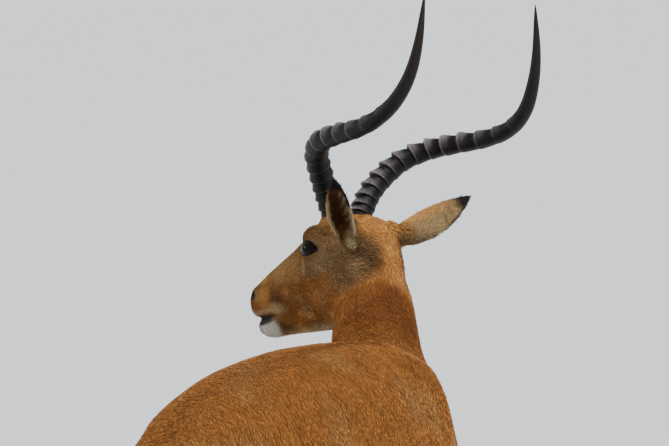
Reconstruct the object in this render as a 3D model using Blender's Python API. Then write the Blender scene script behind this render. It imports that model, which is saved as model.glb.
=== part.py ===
"""Impala ram at life size, standing square with its head turned to its left.

The ram faces -Y, +X is its left side and the hooves stand on z = 0.  Lengths below are in
centimetres and become metres in the meshes.  The flesh is modelled whole, out to the tips
of the coat, and then parted into its nodes by thin cuts.
"""
import math

import bmesh
import bpy
import numpy as np
from mathutils import Matrix, Vector

CM = 0.01

# ---- driving dimensions, cm --------------------------------------------------
WITHERS_HEIGHT = 90.0
HEAD_LENGTH = 27.7           # from the back of the skull to the tip of the nose
EYE_RADIUS = 1.7
EYE_PLACE = (4.3, -10.6, 4.3)  # centre of the left eye in the head's frame
EAR_LENGTH = 17.4
EAR_HOOK = 0.8               # how far the ear's tip leans towards its opening
HOOF_LONG = 5.5              # length of a claw's sole
HOOF_SPREAD = 1.28           # from the middle of the foot to the middle of a claw
HOOF_SPLAY = 5.0             # degrees that each claw turns out

# ---- pose, cm and degrees ----------------------------------------------------
HEAD_ORIGIN = (11.9, -27.7, 96.9)
HEAD_YAW = 75.0              # turned to its left
HEAD_PITCH = 12.0            # nose down
HEAD_ROLL = 7.0              # crown tipped to its left
FORE_FOOT = (8.3, -10.0)     # middle of the left forefoot with no stride
HIND_FOOT = (9.2, 65.6)
FORE_STRIDE = 2.0            # how far the left forefoot stands ahead, and the right behind
HIND_STRIDE = 2.5            # the same for the hind feet, the right one ahead

# ---- horns, cm ---------------------------------------------------------------
HORN_RADIUS = 1.75
HORN_BASE = 2.4              # smooth length before the first ridge
RIDGES = 14
RIDGE_FIRST = 1.3            # spacing of the ridges at the base
RIDGE_GROWTH = 0.085         # and how much it grows from ridge to ridge
RIDGE_HEIGHT = 0.17
HORN_SIDES = 10
TIP_ROWS = 6

# ---- cuts between the nodes, cm and degrees ----------------------------------
GAP = 0.035                  # clearance left by a cut
GROWTH = 0.10                # how much a guide outgrows the node it stands for
HEAD_CUT = (0, -3.8, -1.6)   # a point of the cut behind the jaw, in the head's frame
HEAD_CUT_SLOPE = 37.0
NECK_CUT = (4, -10.8, -9.8)  # a point of the cut before the shoulders, from the withers
NECK_CUT_SLOPE = 35.0
TAIL_CUT = 76.6

# ---- mesh fineness -----------------------------------------------------------
VOXEL = 0.0045               # m
SMOOTH_STEPS = 5
BODY_SMOOTH_STEPS = 30
FIRST_RATIO = 0.046
SECOND_RATIO = 0.33

# ---- colour (sRGB) and roughness of each kind of node ------------------------
FINISHES = {
    "head": ("6f4a26", 0.9), "neck": ("7c4a22", 0.9), "trunk": ("86522a", 0.9), "tail": ("cfc9bc", 0.9),
    "foreleg": ("a87a4c", 0.9), "hindleg": ("a87a4c", 0.9), "ear": ("8a6b48", 0.9),
    "horn": ("35302c", 0.5), "eye": ("120d0a", 0.08), "hoof": ("1d1916", 0.45),
}


# ---- small helpers -----------------------------------------------------------
def clear_scene():
    for obj in list(bpy.data.objects):
        bpy.data.objects.remove(obj, do_unlink=True)


def srgb(code):
    """A colour written as six hexadecimal digits, as linear red, green and blue."""
    values = [int(code[i:i + 2], 16) / 255 for i in (0, 2, 4)]
    return [v / 12.92 if v <= 0.04045 else ((v + 0.055) / 1.055) ** 2.4 for v in values]


def material(name, code, roughness):
    mat = bpy.data.materials.new(name)
    mat.use_nodes = True
    shader = mat.node_tree.nodes["Principled BSDF"]
    shader.inputs["Base Color"].default_value = (*srgb(code), 1.0)
    shader.inputs["Roughness"].default_value = roughness
    shader.inputs["Metallic"].default_value = 0.0
    return mat


def finish(obj):
    """Give an object its own material, by the first word of its name."""
    code, roughness = FINISHES[obj.name.split("_")[0]]
    obj.data.materials.clear()
    obj.data.materials.append(material(obj.name + "_finish", code, roughness))


def new_object(name, bm, parent=None):
    """Turn a bmesh in centimetres into an object in metres."""
    bmesh.ops.recalc_face_normals(bm, faces=bm.faces)
    bmesh.ops.scale(bm, vec=(CM, CM, CM), verts=bm.verts)
    mesh = bpy.data.meshes.new(name)
    bm.to_mesh(mesh)
    bm.free()
    obj = bpy.data.objects.new(name, mesh)
    bpy.context.scene.collection.objects.link(obj)
    obj.parent = parent
    return obj


def as_guide(obj):
    obj.hide_render = True
    obj.display_type = "WIRE"
    return obj


def evaluated_copy(obj, name):
    """A new object that holds the evaluated mesh of another one, in world space."""
    bpy.context.view_layer.update()
    graph = bpy.context.evaluated_depsgraph_get()
    mesh = bpy.data.meshes.new_from_object(obj.evaluated_get(graph), depsgraph=graph)
    mesh.transform(obj.matrix_world)
    mesh.name = name
    result = bpy.data.objects.new(name, mesh)
    bpy.context.scene.collection.objects.link(result)
    return result


def boolean(obj, cutter, operation):
    modifier = obj.modifiers.new(operation.title(), "BOOLEAN")
    modifier.operation = operation
    modifier.solver = "EXACT"
    modifier.object = cutter


def catmull(rows, steps):
    """A smooth run of rows through the given rows, `steps` to each span."""
    rows = np.array(rows, dtype=float)
    ends = np.vstack([2 * rows[0] - rows[1], rows, 2 * rows[-1] - rows[-2]])
    result = []
    for i in range(len(rows) - 1):
        p0, p1, p2, p3 = ends[i:i + 4]
        for k in range(steps):
            t = k / steps
            result.append(0.5 * (2 * p1 + (p2 - p0) * t + (2 * p0 - 5 * p1 + 4 * p2 - p3) * t ** 2
                                 + (3 * p1 - p0 - 3 * p2 + p3) * t ** 3))
    result.append(rows[-1])
    return np.array(result)


def super_cos(angle, power):
    value = math.cos(angle)
    return math.copysign(abs(value) ** (2.0 / power), value)


def skin_rings(bm, rings):
    """Bridge a run of equal rings of points and close both ends."""
    verts = [[bm.verts.new(p) for p in ring] for ring in rings]
    count = len(verts[0])
    for low, high in zip(verts, verts[1:]):
        for i in range(count):
            j = (i + 1) % count
            bm.faces.new((low[i], low[j], high[j], high[i]))
    bm.faces.new(verts[0])
    bm.faces.new(verts[-1])


def limb(bm, stations, sides=20, steps=4, power=2.0, side_start=(1, 0, 0), side_end=None):
    """A tube through stations of (x, y, z, half width, half depth)."""
    rows = catmull(stations, steps)
    start = Vector(side_start)
    end = Vector(side_end or side_start)
    rings = []
    for i, row in enumerate(rows):
        ahead = Vector(rows[min(i + 1, len(rows) - 1)][:3])
        behind = Vector(rows[max(i - 1, 0)][:3])
        tangent = (ahead - behind).normalized()
        side = start.lerp(end, i / (len(rows) - 1))
        deep = tangent.cross(side).normalized()
        side = deep.cross(tangent)
        ring = []
        for k in range(sides):
            angle = 2 * math.pi * k / sides
            ring.append(Vector(row[:3]) + side * row[3] * super_cos(angle, power)
                        + deep * row[4] * super_cos(angle - math.pi / 2, power))
        rings.append(ring)
    skin_rings(bm, rings)


def profile(bm, stations, place, sides=28, steps=3, power=2.2, taper=0.0, keel=0.0):
    """A body lofted along its length from (y, top, bottom, half width) stations.

    `taper` narrows each section towards its top, or a fifth number does for its own
    station; `keel` narrows them towards the bottom, and `place` maps the points.
    """
    rings = []
    full = [row if len(row) == 5 else (*row, taper) for row in stations]
    for y, top, bottom, half_width, taper in catmull(full, steps):
        ring = []
        for k in range(sides):
            angle = 2 * math.pi * k / sides
            rise = super_cos(angle - math.pi / 2, power)
            across = half_width * super_cos(angle, power) * (1 - taper * rise)
            across *= 1 - keel * max(0.0, -rise) ** 2
            height = (top + bottom) / 2 + rise * (top - bottom) / 2
            ring.append(place @ Vector((across, y, height)))
        rings.append(ring)
    skin_rings(bm, rings)


def ellipsoid(bm, centre, radii, place=None, tilt=0.0, turn=0.0, detail=3):
    """An ellipsoid, tipped about X by `tilt` and about Z by `turn` degrees."""
    matrix = Matrix.Translation(centre)
    matrix = matrix @ Matrix.Rotation(math.radians(turn), 4, "Z")
    matrix = matrix @ Matrix.Rotation(math.radians(tilt), 4, "X")
    matrix = matrix @ Matrix.Diagonal((*radii, 1.0))
    if place is not None:
        matrix = place @ matrix
    bmesh.ops.create_icosphere(bm, subdivisions=detail, radius=1.0, matrix=matrix)


def head_matrix():
    """The head's own frame in cm: +X its left, -Y to the nose, +Z to the crown."""
    yaw = Matrix.Rotation(math.radians(HEAD_YAW), 4, "Z")
    pitch = Matrix.Rotation(math.radians(HEAD_PITCH), 4, "X")
    roll = Matrix.Rotation(math.radians(-HEAD_ROLL), 4, "Y")
    return Matrix.Translation(HEAD_ORIGIN) @ yaw @ pitch @ roll


# ---- flesh -------------------------------------------------------------------
def add_trunk(bm):
    """Chest, barrel and rump, with the muscles that show through the coat."""
    here = Matrix.Identity(4)
    high = WITHERS_HEIGHT
    # (y, top, bottom, half width), from the breast to the buttocks
    stations = (
        (-18.5, high - 21, high - 32, 3.4, 0.1), (-16, high - 13.5, high - 36.5, 6.8, 0.15),
        (-10, high - 5.8, high - 39.5, 10.0, 0.2), (-3, high - 0.8, high - 41.2, 11.8, 0.22),
        (6, high + 0.6, high - 41.6, 13.8, 0.17), (17, high + 1.5, high - 40.4, 15.5, 0.12),
        (28, high + 1.6, high - 37.8, 16.0), (38, high + 1.0, high - 34.3, 15.4),
        (48, high - 0.3, high - 30.8, 13.4), (57, high - 2.6, high - 29.0, 11.4),
        (65, high - 6.2, high - 28.0, 9.4), (71, high - 10.8, high - 27, 7.4),
        (75, high - 17, high - 25.5, 4.2),
    )
    profile(bm, stations, here, power=2.5, taper=0.10, keel=0.22)
    for side in (1, -1):
        # shoulder blade, base of the neck, point of the shoulder, upper arm
        ellipsoid(bm, (side * 7.1, -0.5, high - 14.6), (4.3, 7.2, 13.8), tilt=-18, turn=side * 4)
        ellipsoid(bm, (side * 4.2, -7.5, high - 12.5), (4.0, 6.0, 8.5), tilt=-35)
        ellipsoid(bm, (side * 7.0, -9.0, high - 27), (4.4, 6.6, 8.5), tilt=-30)
        ellipsoid(bm, (side * 9.0, 0.0, high - 32), (4.2, 7.8, 10.5), tilt=20)
        # hip and thigh
        ellipsoid(bm, (side * 6.0, 58, high - 20), (6.2, 13.5, 12), tilt=16)
        ellipsoid(bm, (side * 8.6, 57, high - 27), (4.4, 9.0, 11.0), tilt=-8)
    ellipsoid(bm, (0.6, -12.5, high - 20), (6.8, 7.0, 15), tilt=12)


def add_neck(bm, head):
    """The neck: it leaves the shoulders forwards and bends up and left to the head."""
    under = head @ Vector((0.5, -2.5, -6.0))
    crown = head @ Vector((0, -4.5, 0.5))
    # (x, y, z, half width, half depth)
    stations = (
        (0, -1, 70, 7.8, 12.5), (1.2, -7.0, 76, 8.5, 11.0), (6.4, -13.4, 82.8, 7.5, 9.2),
        (*under, 6.0, 7.6), (*crown, 4.4, 5.6),
    )
    left = head.to_3x3() @ Vector((1, 0, 0))
    limb(bm, stations, sides=28, steps=5, power=2.1, side_end=left)


def add_head(bm, head):
    """Skull, face and jaw in the head's frame, from the occiput to the nose."""
    nose = -HEAD_LENGTH
    # (y, top, bottom, half width) of the skull and upper face
    skull = (
        (2.0, 6.5, -3.5, 3.0), (-0.5, 8.2, -5.0, 4.4), (-4, 9.2, -5.5, 5.1), (-8, 9.6, -5.3, 5.2),
        (-11, 8.9, -5.0, 5.1), (-14, 7.3, -4.6, 4.4), (-17, 5.7, -4.3, 3.7), (-20, 4.3, -4.2, 3.15),
        (-23, 2.9, -4.2, 2.6), (-25, 1.8, -4.2, 2.2), (-26.4, 0.9, -4.1, 1.7),
        (nose + 0.4, 0.1, -3.6, 1.2), (nose, -0.9, -2.8, 0.6),
    )
    profile(bm, skull, head, power=2.3, taper=0.2)
    # (y, top, bottom, half width) of the lower jaw, from its angle to the chin
    jaw = (
        (-2.5, -1, -6.3, 2.8), (-5, 0, -7.6, 3.7), (-9, 0, -8.0, 3.7), (-13, -1, -7.9, 3.2),
        (-17, -2, -7.7, 2.6), (-20.5, -3, -7.6, 2.2), (-23.2, -4.2, -7.7, 2.0),
        (-25.0, -4.4, -7.3, 1.75), (-26.2, -4.7, -6.4, 1.2),
    )
    profile(bm, jaw, head, power=2.2)
    for side in (1, -1):
        # rim of the eye, cheek, base of the horn, base of the ear, wing of the nostril
        ellipsoid(bm, (side * 3.9, -10.3, 5.4), (1.9, 2.6, 2.9), head, turn=-side * 12)
        ellipsoid(bm, (side * 3.0, -7.0, -2.2), (2.5, 5.6, 5.2), head, turn=-side * 6)
        ellipsoid(bm, (side * 3.2, -6.8, 8.4), (2.2, 2.5, 1.7), head)
        ellipsoid(bm, (side * 4.4, -2.4, 5.4), (2.0, 2.3, 2.9), head)
        ellipsoid(bm, (side * 1.2, -25.2, -1.2), (1.1, 1.9, 2.2), head)
    ellipsoid(bm, (0, -26.6, -0.5), (1.5, 1.1, 1.0), head, detail=2)


def add_foreleg(bm, side, stride):
    """A foreleg from the elbow down; `stride` moves the foot forward."""
    # (x, y, z, half width, half depth)
    stations = (
        (8.6, -1.0, 60, 4.0, 7.0), (8.6, -2.2, 54, 3.7, 6.2), (8.5, -3.6, 48, 2.9, 4.4),
        (8.4, -4.8, 41, 2.1, 2.9), (8.3, -5.3, 35, 1.9, 2.4), (8.3, -5.6, 31, 2.15, 2.5),
        (8.3, -5.3, 27.5, 1.8, 2.1), (8.3, -4.7, 22, 1.3, 1.65), (8.3, -4.4, 14.5, 1.25, 1.6),
        (8.3, -4.3, 10, 1.75, 2.15), (8.3, -5.6, 6.8, 1.5, 1.75), (8.3, -7.2, 4.4, 1.8, 2.2),
        (8.3, -8.2, 2.9, 1.5, 2.0),
    )
    limb(bm, [walked(row, side, -stride, 54) for row in stations])


def add_hindleg(bm, side, stride):
    """A hind leg from the thigh down, with the tuft above its fetlock."""
    # (x, y, z, half width, half depth)
    stations = (
        (6.0, 61, 80, 2.2, 5.5), (7.2, 61, 75, 4.2, 10.4), (8.2, 61, 69, 5.0, 12.4),
        (8.8, 60.6, 62, 4.9, 11.8), (9.3, 61.6, 55.5, 4.2, 9.6), (9.6, 65.0, 48.5, 3.1, 6.2),
        (9.6, 70.0, 42, 2.3, 4.0), (9.4, 74.4, 37.3, 2.05, 3.1), (9.3, 75.2, 32, 1.65, 2.5),
        (9.2, 74.4, 25, 1.3, 1.85), (9.2, 73.0, 16.5, 1.25, 1.75), (9.2, 71.8, 11, 1.75, 2.25),
        (9.2, 70.2, 7.2, 1.45, 1.8), (9.2, 68.4, 4.6, 1.8, 2.3), (9.2, 67.4, 3.0, 1.5, 2.1),
    )
    limb(bm, [walked(row, side, -stride, 55) for row in stations])
    heel = walked((9.4, 78.0, 38.8, 0, 0), side, -stride, 55)
    ellipsoid(bm, heel[:3], (1.3, 1.4, 2.6), tilt=20, detail=2)
    tuft = walked((9.2, 75.0, 15.0, 0, 0), side, -stride, 55)
    ellipsoid(bm, tuft[:3], (1.1, 1.5, 3.0), tilt=8, detail=2)


def walked(row, side, reach, hinge):
    """Mirror a station to its side and swing it by `reach` at the foot."""
    x, y, z, wide, deep = row
    share = max(0.0, 1 - z / hinge)
    return (side * x, y + reach * share, z, wide, deep)


def add_tail(bm):
    """The tail: it leaves the croup and hangs close behind the buttocks."""
    high = WITHERS_HEIGHT
    # (x, y, z, half width, half depth)
    stations = (
        (0, 66, high - 12.5, 2.2, 2.0), (0, 72.6, high - 12.8, 2.5, 2.0), (0, 77.2, high - 15.2, 2.3, 1.7),
        (0, 79.0, high - 21, 2.4, 1.6), (0, 79.4, high - 29, 2.8, 1.7), (0, 79.0, high - 37, 2.8, 1.7),
        (0, 78.5, high - 43, 1.9, 1.3), (0, 78.3, high - 47, 0.8, 0.7),
    )
    limb(bm, stations, sides=16)


def clamp(value):
    return min(1.0, max(0.0, value))


def off_head(point, head_inverse):
    """How far a point lies off the head, in cm: nought or less on it."""
    local = head_inverse @ point
    return max(local.y - 1.0, -10.0 - local.z)


def weigh(obj, name, weight):
    """Give each vertex its weight in a new group."""
    group = obj.vertex_groups.new(name=name)
    for vertex in obj.data.vertices:
        share = weight(vertex.co)
        if share > 0.0:
            group.add([vertex.index], share, "REPLACE")


def make_flesh(head):
    """The whole flesh as one closed skin, smoothed and thinned most on the body."""
    bm = bmesh.new()
    add_trunk(bm)
    add_neck(bm, head)
    add_head(bm, head)
    for side in (1, -1):
        add_foreleg(bm, side, side * FORE_STRIDE)
        add_hindleg(bm, side, -side * HIND_STRIDE)
    add_tail(bm)
    forms = new_object("forms", bm)
    remesh = forms.modifiers.new("Remesh", "REMESH")
    remesh.mode = "VOXEL"
    remesh.voxel_size = VOXEL
    soft = forms.modifiers.new("Smooth", "SMOOTH")
    soft.factor = 0.5
    soft.iterations = SMOOTH_STEPS
    skin = evaluated_copy(forms, "skin")

    inverse = (Matrix.Diagonal((CM, CM, CM, 1.0)) @ head).inverted()
    weigh(skin, "body", lambda co: clamp(co.z / 0.10 - 4.4) * clamp(off_head(co, inverse) / 5)
          * clamp((0.755 - co.y) / 0.04))
    blend = skin.modifiers.new("Blend", "SMOOTH")
    blend.factor = 0.5
    blend.iterations = BODY_SMOOTH_STEPS
    blend.vertex_group = "body"
    first = skin.modifiers.new("Thin", "DECIMATE")
    first.ratio = FIRST_RATIO
    thinned = evaluated_copy(skin, "thinned")

    thinned.vertex_groups.clear()
    weigh(thinned, "rest", lambda co: 1.0 if off_head(co, inverse) > 0 else 0.0)
    second = thinned.modifiers.new("Thin", "DECIMATE")
    second.ratio = SECOND_RATIO
    second.vertex_group = "rest"
    flesh = evaluated_copy(thinned, "flesh")
    for obj in (forms, skin, thinned):
        bpy.data.objects.remove(obj, do_unlink=True)
    return flesh


# ---- parting the flesh -------------------------------------------------------
def box_region(name, centre, half, turn, grow):
    """A box with half sizes `half`, turned by a 3 x 3 matrix and grown all round."""
    bm = bmesh.new()
    bmesh.ops.create_cube(bm, size=2.0)
    size = Matrix.Diagonal((half[0] + grow, half[1] + grow, half[2] + grow, 1.0))
    bmesh.ops.transform(bm, matrix=Matrix.Translation(centre) @ turn.to_4x4() @ size, verts=bm.verts)
    return as_guide(new_object(name, bm))


def dome_region(name, centre, radii, grow, power=3.0):
    """A squarish egg around a leg, so that its top cuts a dome into the body."""
    bm = bmesh.new()
    bmesh.ops.create_uvsphere(bm, u_segments=14, v_segments=10, radius=1.0)
    for vertex in bm.verts:
        size = sum(abs(c) ** power for c in vertex.co) ** (1 / power)
        unit = vertex.co / size
        vertex.co = Vector(centre) + Vector([unit[i] * (radii[i] + grow) for i in range(3)])
    bmesh.ops.triangulate(bm, faces=bm.faces, quad_method="FIXED")
    return as_guide(new_object(name, bm))


def cut_off(flesh, name, make_region):
    """Part `name` from the flesh: the node inside the region, and the rest outside it."""
    inner = make_region(name + ".inner", -GAP)
    outer = make_region(name + ".outer", 0.0)
    boolean(flesh, inner, "INTERSECT")
    node = evaluated_copy(flesh, name)
    flesh.modifiers.clear()
    boolean(flesh, outer, "DIFFERENCE")
    rest = evaluated_copy(flesh, "rest")
    for obj in (flesh, inner, outer):
        bpy.data.objects.remove(obj, do_unlink=True)
    return node, rest


def part_flesh(flesh, head):
    """Cut the flesh into head, neck, tail, legs and trunk."""
    nodes = []
    turn = head.to_3x3() @ Matrix.Rotation(math.radians(-HEAD_CUT_SLOPE), 3, "X")
    centre = head @ Vector(HEAD_CUT) + turn @ Vector((0, -22, 0))
    node, flesh = cut_off(flesh, "head", lambda name, grow: box_region(
        name, centre, (14, 22, 22), turn, grow))
    nodes.append(node)
    slope = Matrix.Rotation(math.radians(-NECK_CUT_SLOPE), 3, "X")
    base = Vector(NECK_CUT) + Vector((0, 0, WITHERS_HEIGHT)) + slope @ Vector((0, -20, 0))
    node, flesh = cut_off(flesh, "neck", lambda name, grow: box_region(
        name, base, (20, 20, 17), slope, grow))
    nodes.append(node)
    level = Matrix.Identity(3)
    node, flesh = cut_off(flesh, "tail", lambda name, grow: box_region(
        name, (0, TAIL_CUT + 8, WITHERS_HEIGHT - 28), (3.4, 8, 24), level, grow))
    nodes.append(node)
    for label, side in (("left", 1), ("right", -1)):
        node, flesh = cut_off(flesh, "foreleg_" + label, lambda name, grow: dome_region(
            name, (side * 9.3, -2.8, 24), (5.4, 12, 34), grow))
        nodes.append(node)
        node, flesh = cut_off(flesh, "hindleg_" + label, lambda name, grow: dome_region(
            name, (side * 10.2, 65, 24), (7.0, 17, 39), grow))
        nodes.append(node)
    flesh.name = "trunk"
    nodes.append(flesh)
    return nodes


def cut_mouth(head_node, head):
    """Open the lips a little, from the corner of the mouth to the nose."""
    bm = bmesh.new()
    corner, upper, lower = (-21.4, -4.1), (-30.0, -3.7), (-30.0, -5.1)
    rows = [[bm.verts.new(head @ Vector((x, y, z))) for y, z in (corner, upper, lower)]
            for x in (-5.0, 5.0)]
    bm.faces.new(rows[0])
    bm.faces.new(rows[1])
    for i in range(3):
        j = (i + 1) % 3
        bm.faces.new((rows[0][i], rows[0][j], rows[1][j], rows[1][i]))
    boolean(head_node, as_guide(new_object("mouth.cutter", bm)), "DIFFERENCE")


# ---- eyes, ears, horns and hooves --------------------------------------------
def ball(name, radius, parent, place):
    bm = bmesh.new()
    bmesh.ops.create_uvsphere(bm, u_segments=14, v_segments=9, radius=radius)
    obj = new_object(name, bm, parent)
    obj.location = Vector(place) * CM
    return obj


def ear(name, parent, place, axis, opening, cup, bow):
    """A leaf along its own Z, cupped about it and open towards Y, bowed out along X."""
    # share of the length, half width along the skin (cm), half angle of the cup (degrees)
    stations = (
        (0.0, 3.3, 152), (0.12, 3.6, 138), (0.25, 3.8, 124), (0.4, 3.7, 110), (0.55, 3.2, 100),
        (0.7, 2.4, 90), (0.84, 1.4, 78), (0.94, 0.7, 66), (1.0, 0.25, 55),
    )
    bm = bmesh.new()
    across = 8
    outer, inner = [], []
    for share, half, angle in stations:
        bend = math.radians(angle) * cup
        radius = half / bend
        thick = 0.42 - 0.2 * share
        lean = EAR_HOOK * share ** 3
        shift = bow * math.sin(math.pi * share)
        for rows, skin_radius in ((outer, radius), (inner, max(radius - thick, 0.05))):
            rows.append([bm.verts.new((
                shift + skin_radius * math.sin(bend * (2 * k / across - 1)),
                -skin_radius * math.cos(bend * (2 * k / across - 1)) + lean,
                share * EAR_LENGTH)) for k in range(across + 1)])
    for low_out, high_out, low_in, high_in in zip(outer, outer[1:], inner, inner[1:]):
        for k in range(across):
            bm.faces.new((low_out[k], low_out[k + 1], high_out[k + 1], high_out[k]))
            bm.faces.new((low_in[k + 1], low_in[k], high_in[k], high_in[k + 1]))
        for k in (0, across):
            bm.faces.new((low_out[k], high_out[k], high_in[k], low_in[k]))
    for k in range(across):
        bm.faces.new((outer[0][k], inner[0][k], inner[0][k + 1], outer[0][k + 1]))
        bm.faces.new((outer[-1][k], outer[-1][k + 1], inner[-1][k + 1], inner[-1][k]))
    obj = new_object(name, bm, parent)
    up = Vector(axis).normalized()
    face = Vector(opening)
    face = (face - up * face.dot(up)).normalized()
    side = face.cross(up)
    turn = Matrix((side, face, up)).transposed()
    obj.rotation_euler = turn.to_euler()
    obj.location = Vector(place) * CM
    return obj


def horn_route(side):
    """The horn's centre line in the head's frame: up and out, back, then up to the tip."""
    points = (
        (1.8, -6.9, 7.2), (3.5, -6.8, 10.0), (5.2, -6.2, 13.0), (7.4, -5.0, 15.6), (9.9, -3.2, 17.8),
        (12.4, 0.2, 19.1), (13.7, 4.8, 19.4), (14.7, 9.6, 19.5), (15.2, 14.0, 20.3),
        (14.9, 17.7, 22.4), (14.2, 20.4, 26.0), (13.6, 22.2, 31.0), (12.8, 23.4, 38.0),
    )
    return catmull([(side * x, y, z) for x, y, z in points], 24)


def horn_shape(route):
    """Rows of (share, radius, ridge) along the horn: ridges first, then the smooth tip."""
    length = float(np.linalg.norm(np.diff(route, axis=0), axis=1).sum())
    rows = []
    for k in range(RIDGES):
        start = HORN_BASE + RIDGE_FIRST * k + RIDGE_GROWTH * k * k
        pitch = RIDGE_FIRST + RIDGE_GROWTH * (2 * k + 1)
        fade = 1.0 if k < RIDGES - 4 else (RIDGES - k) / 5
        rows += [(start, -0.5 * fade), (start + 0.55 * pitch, 0.6 * fade), (start + 0.8 * pitch, fade)]
    last = rows[-1][0]
    rows.insert(0, (0.0, 0.0))
    rows += [(last + (length - last) * (k / TIP_ROWS) ** 0.8, 0.0) for k in range(1, TIP_ROWS + 1)]
    shape = []
    for distance, ridge in rows:
        share = min(distance / length, 1.0)
        radius = HORN_RADIUS * (1 - share ** 2.4) ** 0.8 + 0.1
        shape.append((distance, radius, ridge * RIDGE_HEIGHT))
    return shape


def horn(name, side, parent):
    """Sweep the ridged horn along its route."""
    route = horn_route(side)
    steps = np.linalg.norm(np.diff(route, axis=0), axis=1)
    travelled = np.concatenate(([0.0], np.cumsum(steps)))
    bm = bmesh.new()
    rings = []
    across = Vector((0, 1, 0))
    for distance, radius, ridge in horn_shape(route):
        centre = Vector([np.interp(distance, travelled, route[:, i]) for i in range(3)])
        ahead = Vector([np.interp(distance + 0.4, travelled, route[:, i]) for i in range(3)])
        behind = Vector([np.interp(distance - 0.4, travelled, route[:, i]) for i in range(3)])
        tangent = (ahead - behind).normalized()
        across = (across - tangent * across.dot(tangent)).normalized()
        upper = tangent.cross(across)
        ring = []
        for k in range(HORN_SIDES):
            angle = 2 * math.pi * k / HORN_SIDES
            way = across * math.cos(angle) + upper * math.sin(angle)
            ring.append(centre + way * (radius + ridge))
        rings.append(ring)
    skin_rings(bm, rings)
    return new_object(name, bm, parent)


def hoof(name, parent, place, splay, long):
    """One claw of a cloven hoof: flat sole, sloping wall, pointed toe towards -Y."""
    # (height, shift back, half width, half length)
    stations = (
        (0.0, 0.0, 1.10, 0.5 * long), (0.5, 0.1, 1.12, 0.5 * long), (2.2, 0.65, 1.02, 0.43 * long),
        (3.7, 1.2, 0.85, 0.33 * long),
    )
    bm = bmesh.new()
    sides = 10
    rings = []
    for height, back, wide, deep in stations:
        ring = []
        for k in range(sides):
            angle = 2 * math.pi * k / sides
            along = -math.cos(angle)
            pinch = 1 - 0.45 * max(0.0, -along) ** 2
            ring.append(Vector((wide * pinch * super_cos(angle - math.pi / 2, 2.4),
                                back + deep * along, height)))
        rings.append(ring)
    skin_rings(bm, rings)
    obj = new_object(name, bm, parent)
    obj.rotation_euler = (0, 0, math.radians(splay))
    obj.location = Vector(place) * CM
    return obj


def grown(obj, name):
    """A guide a little larger than a node, that cuts its neighbours clear of it."""
    guide = evaluated_copy(obj, name)
    displace = guide.modifiers.new("Grow", "DISPLACE")
    displace.mid_level = 0.0
    displace.strength = GROWTH * CM
    return as_guide(guide)


# ---- assembly ----------------------------------------------------------------
def add_frame(name, parent=None):
    """An empty that carries other objects."""
    frame = bpy.data.objects.new(name, None)
    bpy.context.scene.collection.objects.link(frame)
    frame.parent = parent
    return frame


def add_eyes(head_frame, head_node):
    """Two globes, each in a socket cut into the head."""
    x, y, z = EYE_PLACE
    for label, side in (("left", 1), ("right", -1)):
        place = (side * x, y, z)
        finish(ball("eye_" + label, EYE_RADIUS, head_frame, place))
        socket = as_guide(ball("socket_" + label, EYE_RADIUS + GAP, head_frame, place))
        boolean(head_node, socket, "DIFFERENCE")


def add_ears_and_horns(head_frame, head_guide):
    # name, place and axis in the head's frame, side that the opening faces, cup, bow
    ear_poses = (
        ("ear_left", (4.2, -3.0, 4.4), (11.4, 8.2, 7.6), (0.34, 0.41, -0.85), 1.0, 0.5),
        ("ear_right", (-4.8, -2.2, 5.0), (-15.9, 3.8, 7.5), (-0.25, -0.85, -0.25), 0.80, 0.6),
    )
    for name, place, axis, opening, cup, bow in ear_poses:
        piece = ear(name, head_frame, place, axis, opening, cup, bow)
        finish(piece)
        boolean(piece, head_guide, "DIFFERENCE")
    for label, side in (("left", 1), ("right", -1)):
        piece = horn("horn_" + label, side, head_frame)
        finish(piece)
        boolean(piece, head_guide, "DIFFERENCE")


def add_hooves(root, flesh):
    """Two claws under each leg, cut clear of it."""
    feet = (
        ("foreleg_left", 1, FORE_FOOT, -FORE_STRIDE), ("foreleg_right", -1, FORE_FOOT, FORE_STRIDE),
        ("hindleg_left", 1, HIND_FOOT, HIND_STRIDE), ("hindleg_right", -1, HIND_FOOT, -HIND_STRIDE),
    )
    for leg, side, (x, y), stride in feet:
        guide = grown(flesh[leg], leg + ".grown")
        guide.parent = root
        for label, outward in (("outer", side), ("inner", -side)):
            place = (side * x + outward * HOOF_SPREAD, y + stride, 0)
            claw = hoof("hoof_" + leg + "_" + label, root, place, outward * HOOF_SPLAY, HOOF_LONG)
            finish(claw)
            boolean(claw, guide, "DIFFERENCE")


def build():
    root = add_frame("impala")
    head = head_matrix()
    head_frame = add_frame("head_frame", root)
    head_frame.matrix_local = Matrix.Translation(Vector(HEAD_ORIGIN) * CM) @ head.to_3x3().to_4x4()

    nodes = part_flesh(make_flesh(head), head)
    flesh = {node.name: node for node in nodes}
    for node in nodes:
        node.parent = root
        finish(node)

    head_guide = grown(flesh["head"], "head.grown")
    head_guide.parent = root
    cut_mouth(flesh["head"], head)
    add_eyes(head_frame, flesh["head"])
    add_ears_and_horns(head_frame, head_guide)
    add_hooves(root, flesh)
    centre_on_floor(root)


def centre_on_floor(root):
    """Move the root so that the whole stands on z = 0, centred on the origin."""
    bpy.context.view_layer.update()
    graph = bpy.context.evaluated_depsgraph_get()
    low = Vector((math.inf,) * 3)
    high = Vector((-math.inf,) * 3)
    for obj in bpy.data.objects:
        if obj.type != "MESH" or obj.hide_render:
            continue
        for vertex in obj.evaluated_get(graph).data.vertices:
            point = obj.matrix_world @ vertex.co
            low = Vector(map(min, low, point))
            high = Vector(map(max, high, point))
    root.location = (-(low.x + high.x) / 2, -(low.y + high.y) / 2, -low.z)


def main():
    clear_scene()
    build()


if __name__ == "__main__":
    main()
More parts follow.
